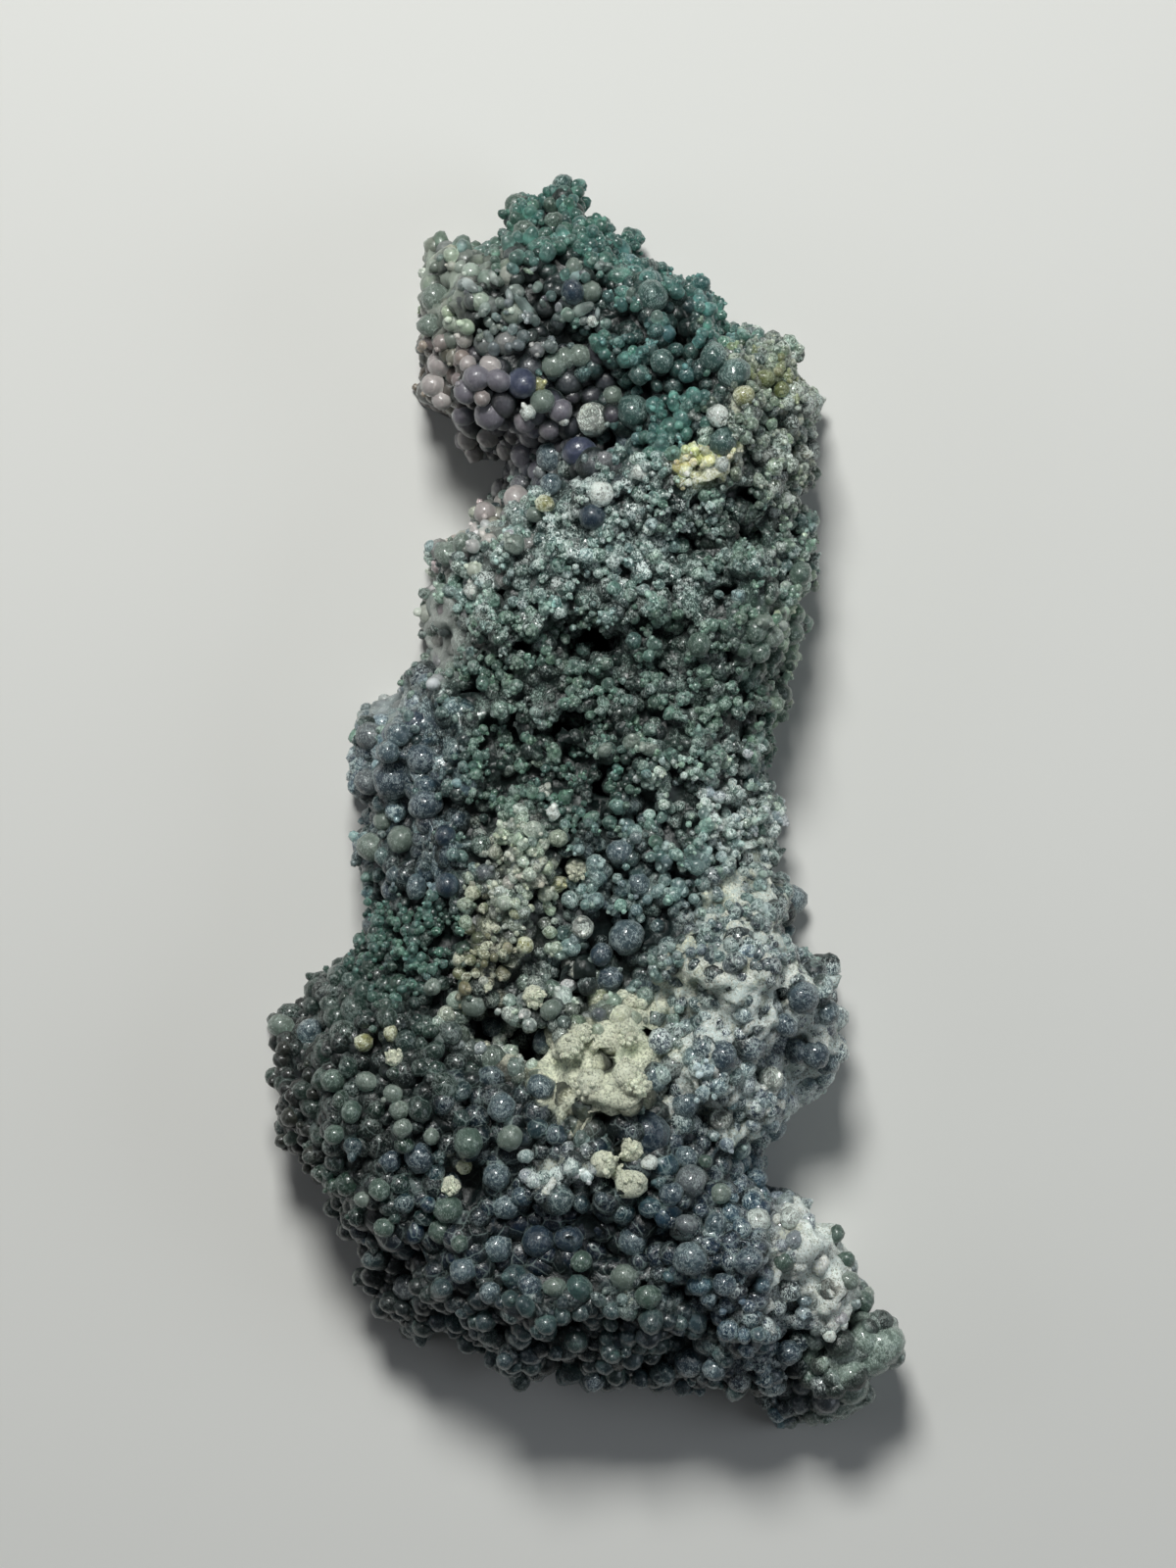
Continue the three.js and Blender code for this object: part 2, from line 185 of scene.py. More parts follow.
FIELDS = (
    Field("crown", (568, 228), (70, 58), (0.9, 1.5), (6, 26, 24), (24, 58, 52), (88, 132, 122), 0.18,
          web=0.0, proud=0.7, proud_size=0.85, nubs=0.8, tall=1.5, lumps=1.0),
    Field("pale corner", (462, 285), (52, 65), (1.4, 2.3), (100, 111, 102), (132, 143, 129), (202, 210, 195), 0.05,
          web=0.0, proud=0.35, proud_size=0.7, nubs=0.4, fill=0.7, grain=0.3, lumps=0.6),
    Field("nubs", (545, 320), (75, 45), (0.9, 1.4), (8, 14, 23), (76, 89, 85), (146, 159, 155), 0.1,
          web=0.0, proud=0.5, proud_size=0.62, nubs=1.3, tall=2.4, grain=0.7, lumps=0.8),
    Field("violet", (520, 420), (85, 55), (1.5, 2.2), (48, 48, 58), (88, 87, 95), (150, 147, 150), 0.04,
          web=0.0, proud=0.5, proud_size=0.85, nubs=0.5, fill=0.2, tall=1.2, grain=0.2, lumps=0.6),
    Field("pink edge", (450, 405), (38, 60), (1.3, 1.9), (86, 79, 74), (122, 112, 104), (160, 149, 138), 0.03,
          web=0.0, proud=0.4, nubs=0.3, fill=0.5, grain=0.2, lumps=0.3),
    Field("teal", (672, 350), (75, 75), (0.9, 1.7), (10, 36, 37), (33, 68, 65), (95, 146, 137), 0.27,
          web=0.1, proud=0.55, proud_size=0.75, nubs=0.9, tall=1.4, lumps=1.2),
    Field("slope", (690, 262), (60, 35), (0.7, 1.3), (6, 27, 27), (19, 48, 46), (74, 123, 115), 0.35,
          web=0.0, proud=0.6, nubs=0.6, lumps=1.0),
    Field("ridge", (785, 425), (52, 90), (0.8, 1.6), (28, 46, 40), (60, 80, 68), (160, 174, 154), 0.68, 0.4, 0.3,
          proud=0.6, nubs=0.9, fill=0.5, lumps=1.2, matrix=0.6),
    Field("yellow patch", (718, 487), (20, 14), (0.6, 1.1), (172, 172, 96), (226, 226, 140), (250, 250, 216), 0.6, 0.5,
          web=0.0, proud=0.6, nubs=0.6, fill=0.9, lumps=0.6, strength=4.5),
    Field("yellow tip", (741, 470), (13, 10), (0.6, 1.0), (150, 152, 84), (206, 208, 126), (246, 246, 210), 0.6, 0.4,
          web=0.0, proud=0.6, nubs=0.6, fill=0.9, lumps=0.6, strength=2.0),
    Field("olive patch", (787, 388), (25, 22), (0.7, 1.3), (50, 58, 30), (94, 100, 58), (154, 160, 112), 0.3, 0.15,
          web=0.0, proud=0.6, nubs=0.6, fill=0.6, lumps=0.6, strength=2.0),
    Field("speckles", (600, 570), (175, 62), (0.7, 1.5), (14, 43, 43), (48, 81, 76), (147, 178, 170), 0.88, 0.12, 0.3,
          proud=0.65, proud_size=0.7, nubs=1.3, fill=0.55, grain=0.8, lumps=1.2),
    Field("grains", (630, 700), (190, 110), (0.7, 1.6), (9, 25, 23), (44, 69, 61), (113, 143, 128), 0.5,
          web=0.0, proud=0.5, proud_size=0.62, nubs=2.2, tall=1.5, fill=0.52, lumps=1.8),
    Field("right grains", (750, 560), (60, 60), (0.7, 1.6), (10, 27, 24), (45, 69, 61), (111, 142, 126), 0.5,
          web=0.0, proud=0.5, proud_size=0.62, nubs=2.0, fill=0.55, lumps=1.6),
    Field("bulge", (780, 655), (40, 48), (1.2, 1.9), (38, 58, 48), (61, 82, 69), (103, 126, 109), 0.35,
          proud=0.3, proud_size=0.6, nubs=0.3, fill=0.7, grain=0.5, lumps=0.8),
    # Pale green colours of the right edge, lightened further as painted light on the steep edge that faces away from
    # the key lamp.
    Field("green edge", (818, 690), (25, 90), (0.8, 1.4), (130, 154, 130), (170, 190, 166), (216, 228, 212), 0.1,
          web=0.0, proud=0.6, nubs=0.5, grain=0.6, lumps=0.8),
    Field("pale knobs", (478, 540), (42, 48), (1.2, 1.9), (122, 122, 117), (172, 170, 163), (218, 216, 208), 0.05,
          web=0.0, proud=0.35, nubs=0.3, fill=0.6, grain=0.2, lumps=0.4),
    Field("glass margin", (446, 640), (22, 50), (1.6, 2.4), (118, 122, 118), (150, 156, 148), (196, 201, 194), 0.08,
          web=0.0, proud=0.2, nubs=0.1, fill=0.85, grain=0.1, lumps=0.5, strength=1.6),
    Field("left dusk", (384, 716), (30, 26), (1.6, 2.4), (114, 123, 122), (149, 157, 155), (202, 208, 207), 0.14,
          web=0.2, proud=0.2, nubs=0.1, fill=0.85, grain=0.1, lumps=0.5, strength=2.0),
    Field("left slate", (402, 780), (62, 90), (1.5, 2.3), (22, 45, 66), (56, 79, 98), (135, 162, 170), 0.62, 0.0, 0.5,
          proud=0.3, proud_size=0.8, nubs=0.4, fill=0.75, grain=0.25, lumps=0.6),
    Field("left knob", (385, 862), (38, 38), (1.2, 1.9), (9, 23, 31), (28, 47, 50), (92, 113, 110), 0.35, 0.1, 0.4,
          proud=0.5, nubs=0.4, fill=0.2, grain=0.3, lumps=0.8),
    Field("waist", (610, 800), (150, 45), (0.45, 1.05), (6, 26, 24), (28, 55, 49), (96, 135, 120), 0.28, 0.1, 0.2,
          proud=0.55, nubs=1.2, fill=0.05, lumps=1.4),
    Field("waist frost", (745, 815), (50, 40), (0.5, 1.1), (60, 92, 86), (114, 144, 138), (216, 230, 222), 1.0, 0.4, 0.4,
          proud=0.65, nubs=0.9, fill=0.55, lumps=1.2, matrix=0.6),
    Field("waist right", (686, 800), (42, 34), (0.6, 1.2), (74, 100, 92), (128, 156, 144), (212, 232, 220), 0.7, 0.05,
          web=0.1, proud=0.6, nubs=1.0, fill=0.3, lumps=1.2, strength=1.5),
    Field("yellow ridge", (530, 885), (32, 76), (0.9, 1.7), (54, 68, 62), (110, 125, 110), (200, 209, 187), 0.6, 0.32, 0.3,
          proud=0.7, nubs=0.9, fill=0.5, lumps=1.2, matrix=0.5),
    Field("tan ridge", (495, 985), (28, 45), (0.8, 1.3), (64, 66, 46), (104, 104, 74), (160, 158, 126), 0.3, 0.6, 0.2,
          proud=0.5, nubs=0.5, fill=0.7, lumps=0.8),
    Field("middle", (650, 900), (62, 80), (0.8, 1.6), (16, 41, 50), (59, 88, 91), (150, 178, 172), 0.45, 0.05, 0.4,
          proud=0.5, nubs=0.7, fill=0.1, grain=0.6, lumps=1.0),
    Field("right crust", (755, 975), (80, 60), (0.9, 1.7), (16, 38, 48), (41, 62, 70), (138, 158, 154), 0.66, 0.22, 1.0,
          proud=0.35, proud_size=0.7, nubs=0.5, fill=1.0, grain=0.4, lumps=1.4, matrix=0.95),
    Field("right slate", (805, 1060), (62, 65), (1.3, 2.1), (26, 52, 74), (57, 88, 108), (204, 226, 230), 0.95, 0.0, 1.0,
          proud=0.3, proud_size=0.8, nubs=0.3, fill=0.8, grain=0.1, lumps=0.9, matrix=0.7),
    Field("right low", (720, 1110), (50, 45), (1.1, 1.9), (27, 51, 66), (62, 88, 101), (174, 196, 194), 0.8, 0.12, 1.0,
          proud=0.4, proud_size=0.75, nubs=0.4, fill=0.75, grain=0.3, lumps=1.0, matrix=0.65),
    Field("crevice", (548, 1022), (60, 35), (0.9, 1.6), (44, 64, 62), (126, 146, 138), (232, 242, 230), 0.52, 0.15, 0.3,
          proud=0.45, nubs=0.6, fill=0.1, grain=0.5, lumps=1.0),
    Field("mound", (615, 1078), (44, 48), (1.5, 2.6), (148, 153, 117), (176, 182, 142), (213, 217, 182), 0.25, 1.0, 0.2,
          proud=0.4, proud_size=0.85, nubs=0.5, fill=1.0, grain=0.5, lumps=1.6, strength=2.0),
    Field("small greens", (425, 975), (62, 48), (0.5, 1.1), (6, 28, 24), (36, 68, 60), (102, 142, 129), 0.26,
          web=0.1, proud=0.55, nubs=0.9, fill=0.0, lumps=1.2),
    Field("lower left", (365, 1100), (90, 100), (1.3, 2.1), (2, 11, 13), (23, 41, 35), (46, 69, 59), 0.34, 0.0, 0.35,
          proud=0.5, proud_size=0.85, nubs=0.3, fill=0.1, grain=0.15, lumps=0.7),
    Field("net", (505, 1190), (75, 62), (1.4, 2.2), (2, 19, 34), (18, 42, 54), (56, 84, 92), 0.4, 0.05, 0.75,
          proud=0.4, proud_size=0.85, nubs=0.3, fill=0.3, grain=0.1, lumps=0.7, matrix=0.2),
    Field("low middle", (660, 1190), (60, 50), (1.4, 2.2), (2, 22, 38), (20, 45, 57), (56, 87, 97), 0.35, 0.05, 0.7,
          proud=0.45, proud_size=0.85, nubs=0.3, fill=0.2, grain=0.1, lumps=0.8),
    Field("deep blue", (545, 1265), (120, 42), (1.6, 2.4), (0, 14, 34), (6, 28, 48), (26, 54, 70), 0.2, 0.0, 0.7,
          proud=0.25, proud_size=0.8, nubs=0.1, fill=0.2, grain=0.05, lumps=0.8),
    Field("bottom", (560, 1350), (200, 52), (1.4, 2.1), (6, 21, 30), (34, 50, 56), (76, 98, 97), 0.26, 0.0, 0.1,
          proud=0.5, proud_size=0.85, nubs=0.2, tall=1.4, fill=0.4, grain=0.1, lumps=0.8),
    # Near-black colours on the lower left: painted shadow of the underside there.
    Field("low dusk", (392, 1330), (50, 44), (1.3, 2.0), (2, 9, 11), (14, 21, 23), (38, 47, 47), 0.14, 0.0, 0.1,
          proud=0.5, proud_size=0.85, nubs=0.2, tall=1.2, fill=0.1, grain=0.1, lumps=0.8, strength=1.5),
    Field("foot", (770, 1300), (85, 75), (1.3, 2.0), (0, 21, 47), (24, 53, 74), (84, 116, 130), 0.62, 0.05, 0.7,
          proud=0.45, proud_size=0.8, nubs=0.3, fill=0.55, grain=0.15, lumps=0.9),
    Field("foot crust", (830, 1284), (34, 46), (1.0, 2.0), (214, 218, 210), (234, 238, 230), (250, 252, 248), 0.95, 1.0,
          0.6, proud=0.15, nubs=0.3, fill=1.0, grain=0.4, lumps=1.2, strength=4.0),
    Field("streak crust", (855, 1345), (14, 28), (0.8, 1.4), (196, 204, 196), (222, 228, 220), (246, 250, 244), 0.95,
          0.85, web=0.2, proud=0.4, nubs=0.5, fill=1.0, grain=0.5, lumps=1.0, matrix=0.8, strength=3.6),
    Field("low crust", (640, 1312), (36, 24), (0.9, 1.6), (10, 26, 34), (36, 56, 62), (126, 144, 138), 0.6, 0.2, 0.6,
          proud=0.4, nubs=0.4, fill=0.8, grain=0.3, lumps=0.9, matrix=0.45),
    Field("net crust", (575, 1195), (40, 22), (0.9, 1.6), (40, 64, 76), (116, 146, 148), (240, 248, 244), 0.9, 0.2, 1.0,
          proud=0.35, nubs=0.4, fill=0.8, grain=0.3, lumps=0.9, matrix=0.7, strength=1.6),
    Field("foot streak", (800, 1350), (40, 45), (1.2, 1.9), (6, 32, 56), (38, 68, 90), (128, 158, 170), 0.95, 0.2, 0.8,
          proud=0.35, nubs=0.3, fill=0.7, grain=0.2, lumps=0.8, matrix=0.5),
    Field("toe", (892, 1385), (44, 62), (1.0, 1.6), (94, 110, 102), (124, 141, 131), (172, 188, 177), 0.5, 0.05, 0.0,
          proud=0.2, nubs=0.2, fill=0.95, grain=0.1, lumps=0.6, strength=2.0),
    Field("dusk edge", (298, 1120), (26, 90), (1.2, 1.8), (13, 12, 11), (27, 26, 24), (50, 49, 45), 0.12,
          web=0.1, proud=0.5, nubs=0.2, fill=0.3, grain=0.1, lumps=0.6),
)


@dataclass(frozen=True)
class Stroke:
    """A ridge or a cleft drawn over the specimen."""

    name: str
    points: tuple[tuple[float, float], ...]
    width: float
    rise: float


STROKES = (
    Stroke("main cleft", ((388, 975), (440, 1015), (505, 1045), (572, 1084)), 13, -0.8),
    Stroke("cleft under the mound", ((590, 1134), (645, 1148)), 13, -3.0),
    Stroke("cleft under the violet balls", ((535, 492), (600, 478), (640, 462)), 12, -1.6),
    Stroke("waist slot", ((500, 760), (570, 752), (610, 745)), 13, -2.6),
    Stroke("upper hole", ((580, 658), (618, 656)), 15, -2.6),
    Stroke("upright slot", ((613, 785), (612, 820)), 9, -2.2),
    Stroke("deep blue hollow", ((470, 1250), (560, 1262), (660, 1262)), 38, -2.0),
    Stroke("green hollow", ((480, 705), (540, 770), (480, 830)), 30, -1.5),
    Stroke("right hollow", ((700, 560), (790, 520)), 24, -1.4),
    Stroke("foot hollow", ((690, 1300), (722, 1370)), 12, -1.8),
    Stroke("frosted ridge", ((600, 505), (690, 490), (745, 455), (805, 395)), 22, 1.5),
    Stroke("yellow ridge", ((520, 830), (545, 870), (530, 930), (490, 1000)), 20, 1.5),
    Stroke("eyed ridge", ((592, 940), (590, 990)), 13, 1.6),
    Stroke("mound", ((545, 1020), (600, 1060), (620, 1100)), 30, 1.6),
    Stroke("net ridge", ((590, 1180), (643, 1172), (648, 1205)), 18, 1.4),
    Stroke("foot ridge", ((790, 1230), (838, 1275), (850, 1330)), 20, 1.3),
    Stroke("low front", ((430, 1300), (560, 1318), (660, 1325)), 22, 1.2),
    Stroke("left shelf", ((372, 745), (400, 800), (385, 860)), 26, 0.9),
    Stroke("right shelf", ((690, 960), (760, 955), (820, 1000)), 26, 1.0),
    Stroke("pale lump", ((640, 765), (680, 775)), 20, 1.2),
    Stroke("toe swell", ((838, 1392), (866, 1374), (890, 1373)), 22, 3.6),
    Stroke("foot slope", ((852, 1366), (874, 1360)), 15, 3.5),
    Stroke("violet boss", ((480, 395), (560, 410)), 32, 1.2),
)


@dataclass(frozen=True)
class Lobe:
    """A place on the outline that is pulled out into a lobe, or pressed in to a bay."""

    px: float
    py: float
    right: float
    down: float
    reach: float


LOBES = (
    Lobe(803, 1440, 0, 24, 28), Lobe(372, 868, -23, 0, 24), Lobe(455, 255, -15, -17, 25),
    Lobe(425, 1362, -6, 19, 26), Lobe(450, 562, -19, -4, 21), Lobe(523, 1402, 0, 16, 24),
    Lobe(790, 834, 12, 0, 24), Lobe(538, 205, -6, -13, 15), Lobe(284, 1040, -12, 0, 20),
    Lobe(644, 244, 7, -12, 13), Lobe(830, 405, 12, 0, 24), Lobe(724, 1413, 0, 9, 22),
    Lobe(850, 1000, 9, 2, 18), Lobe(828, 483, 9, 0, 18), Lobe(829, 523, 9, 0, 18),
    Lobe(355, 1252, -10, 5, 22), Lobe(800, 730, 9, 0, 17), Lobe(635, 1410, 0, 9, 28),
    Lobe(857, 1075, 9, 2, 24), Lobe(486, 523, -9, -5, 18), Lobe(432, 403, -9, 0, 20),
    Lobe(836, 1108, 7, 6, 18), Lobe(614, 223, 7, -7, 14), Lobe(711, 288, 6, -8, 14),
    Lobe(433, 642, -7, 0, 17), Lobe(573, 1418, 0, -19, 21), Lobe(757, 319, -8, 13, 20),
    Lobe(822, 948, -14, -2, 17), Lobe(791, 1205, -10, 0, 18), Lobe(898, 1341, -10, 2, 18),
    Lobe(792, 793, -10, 0, 16), Lobe(817, 350, -7, 6, 15), Lobe(447, 428, 7, -3, 13),
    Lobe(821, 615, -3, 0, 14), Lobe(503, 236, 4, 9, 15), Lobe(330, 1226, 6, -5, 15),
    Lobe(898, 1400, 14, 5, 22), Lobe(390, 1334, -12, 11, 20), Lobe(371, 774, -16, -2, 26),
    Lobe(364, 968, -9, -9, 18), Lobe(748, 1411, 2, 11, 15), Lobe(441, 605, -12, -2, 18),
    Lobe(434, 300, -8, 0, 18), Lobe(279, 1052, -7, -2, 16), Lobe(424, 690, -8, -6, 17),
    Lobe(460, 455, -7, 5, 14), Lobe(671, 1418, 0, 8, 14), Lobe(836, 592, 8, 0, 12),
    Lobe(838, 503, -9, 0, 12), Lobe(824, 944, -10, -2, 14), Lobe(776, 1436, 0, -8, 12),
    Lobe(806, 889, -8, 0, 14), Lobe(866, 1020, -7, 0, 12), Lobe(828, 389, -7, 0, 12),
    Lobe(843, 1245, -7, 5, 12), Lobe(690, 276, -4, 6, 12),
    Lobe(378, 724, -15, -6, 15), Lobe(884, 1428, 10, 11, 16), Lobe(476, 1372, 0, 8, 14),
    Lobe(824, 950, -12, -2, 14), Lobe(766, 1430, 0, -13, 14), Lobe(752, 324, -7, 10, 14),
    Lobe(843, 580, -5, 0, 14), Lobe(838, 462, -10, 0, 12), Lobe(582, 1412, 0, -9, 12),
    Lobe(430, 425, 9, -3, 12), Lobe(605, 206, -6, 7, 12),
    Lobe(502, 230, 2, 9, 14), Lobe(816, 712, -9, 0, 13), Lobe(428, 664, 10, 0, 13),
    Lobe(824, 372, -8, 2, 14), Lobe(423, 636, 7, 0, 12),
    Lobe(908, 1385, 10, 0, 18), Lobe(815, 1442, 2, 10, 18), Lobe(372, 738, -8, -2, 14),
    Lobe(364, 797, -8, 0, 16), Lobe(804, 1214, -8, 4, 10), Lobe(792, 1156, 7, 0, 14),
    Lobe(287, 1154, -8, 0, 16), Lobe(284, 1111, -7, 0, 14), Lobe(588, 190, 3, -8, 12),
    Lobe(470, 456, -3, 6, 12), Lobe(448, 248, -5, -6, 14), Lobe(870, 1298, 6, 0, 14),
    Lobe(439, 268, -7, 0, 14), Lobe(836, 954, -16, -2, 16), Lobe(748, 326, -9, 12, 16),
    Lobe(866, 1010, -12, 0, 14), Lobe(579, 1410, 0, -10, 14), Lobe(868, 1068, -3, 0, 16),
    Lobe(830, 502, -9, 0, 12), Lobe(356, 956, 8, 5, 14), Lobe(808, 689, -8, 0, 16),
    Lobe(404, 693, 8, 3, 16), Lobe(378, 1328, 7, -6, 12), Lobe(660, 258, -5, 8, 12),
    Lobe(866, 1270, -8, 0, 12), Lobe(436, 416, 8, 0, 12), Lobe(302, 1020, 8, 4, 14),
    Lobe(823, 912, -8, 0, 14), Lobe(625, 226, -6, 6, 12), Lobe(797, 740, -8, 0, 14),
    Lobe(834, 459, -7, 0, 12), Lobe(740, 1416, 0, -8, 12), Lobe(894, 1340, -7, 0, 12),
    Lobe(553, 190, -2, 4, 10), Lobe(840, 966, -13, 0, 16), Lobe(750, 322, -7, 11, 18),
    Lobe(848, 1440, 2, 13, 20), Lobe(388, 1336, -6, 8, 16), Lobe(858, 1258, 6, 0, 12),
    Lobe(752, 1414, 0, 7, 10), Lobe(776, 1434, 0, -8, 10), Lobe(620, 1412, 0, 8, 14),
    Lobe(432, 386, -8, 0, 12), Lobe(902, 1400, 7, 0, 12), Lobe(314, 1014, -5, -5, 12),
    Lobe(298, 1178, -7, 2, 12), Lobe(580, 1408, 0, -7, 10), Lobe(862, 1010, -7, 0, 12),
    Lobe(784, 334, -5, 7, 12), Lobe(436, 250, 7, 2, 12), Lobe(428, 325, 6, 0, 12),
    Lobe(845, 968, -11, -2, 13), Lobe(713, 1430, 0, -9, 12), Lobe(659, 1428, 0, -9, 12), Lobe(416, 397, 9, 0, 14),
    Lobe(823, 659, -8, 0, 13), Lobe(541, 196, -2, 8, 12), Lobe(747, 326, -5, 7, 12), Lobe(341, 973, 7, 2, 12),
    Lobe(869, 1068, -7, 0, 12), Lobe(843, 443, -7, 0, 12), Lobe(351, 781, 8, 0, 13), Lobe(272, 1076, 7, 0, 13),
    Lobe(808, 690, -7, 0, 12), Lobe(376, 1331, 5, -5, 12), Lobe(578, 1412, 0, -8, 12), Lobe(897, 1415, -5, -3, 12),
    Lobe(576, 1415, 0, -10, 13), Lobe(840, 966, -9, -2, 13), Lobe(834, 500, -9, 0, 13),
    Lobe(826, 366, -8, 3, 12), Lobe(453, 437, 8, -2, 12), Lobe(638, 1424, 0, -7, 12),
    Lobe(705, 276, -5, 7, 12), Lobe(451, 1367, 1, -7, 14), Lobe(901, 1341, -7, 0, 12), Lobe(808, 689, -7, 0, 12),
    Lobe(670, 262, 4, -6, 12), Lobe(828, 631, 6, 0, 12), Lobe(427, 377, -5, 0, 14), Lobe(427, 293, -5, 0, 14),
    Lobe(774, 1438, 0, -11, 13), Lobe(603, 199, -6, 6, 12), Lobe(738, 296, -5, 7, 14), Lobe(576, 1412, 0, -8, 12),
    Lobe(349, 784, 8, 0, 14), Lobe(834, 609, -8, 0, 14), Lobe(471, 530, 7, 2, 12),
    Lobe(806, 891, -8, 0, 14), Lobe(846, 974, -6, -4, 12), Lobe(718, 1420, 0, 9, 14),
    Lobe(365, 818, -8, 0, 12), Lobe(410, 694, -7, -4, 14), Lobe(832, 565, 7, 0, 12), Lobe(831, 475, 7, 0, 12),
    Lobe(371, 929, -7, 0, 14), Lobe(802, 822, 7, 0, 12), Lobe(863, 1443, 2, 7, 14), Lobe(786, 1201, 5, -2, 10),
    Lobe(494, 1394, 0, -8, 13), Lobe(577, 1412, 0, -9, 13), Lobe(868, 1014, -7, 0, 13), Lobe(774, 1436, 0, -9, 12),
    Lobe(822, 960, 7, 0, 12), Lobe(889, 1328, 7, 0, 12), Lobe(429, 641, -6, 0, 12), Lobe(535, 197, 0, -6, 12),
    Lobe(844, 986, -8, 9, 15), Lobe(884, 1320, 8, -3, 14), Lobe(819, 958, 5, 2, 12), Lobe(370, 1312, -9, 3, 14), Lobe(866, 1012, -7, 0, 12), Lobe(864, 1076, 6, 0, 14),
    Lobe(456, 242, -4, -6, 12), Lobe(426, 342, -6, 0, 12), Lobe(433, 652, -6, 0, 12), Lobe(800, 877, 6, 0, 12),
    Lobe(762, 1430, 0, -8, 12), Lobe(752, 324, -6, 8, 12), Lobe(575, 1412, 0, -9, 12), Lobe(503, 226, 3, 8, 12),
    Lobe(903, 1414, -8, -6, 14), Lobe(508, 484, 0, -6, 12), Lobe(804, 740, -7, 0, 12), Lobe(838, 603, -6, 0, 12),
)


@dataclass(frozen=True)
class Hero:
    """A ball that is seen singly in the photograph."""

    look: Look
    px: float
    py: float
    radius: float
    tall: float = 1.0


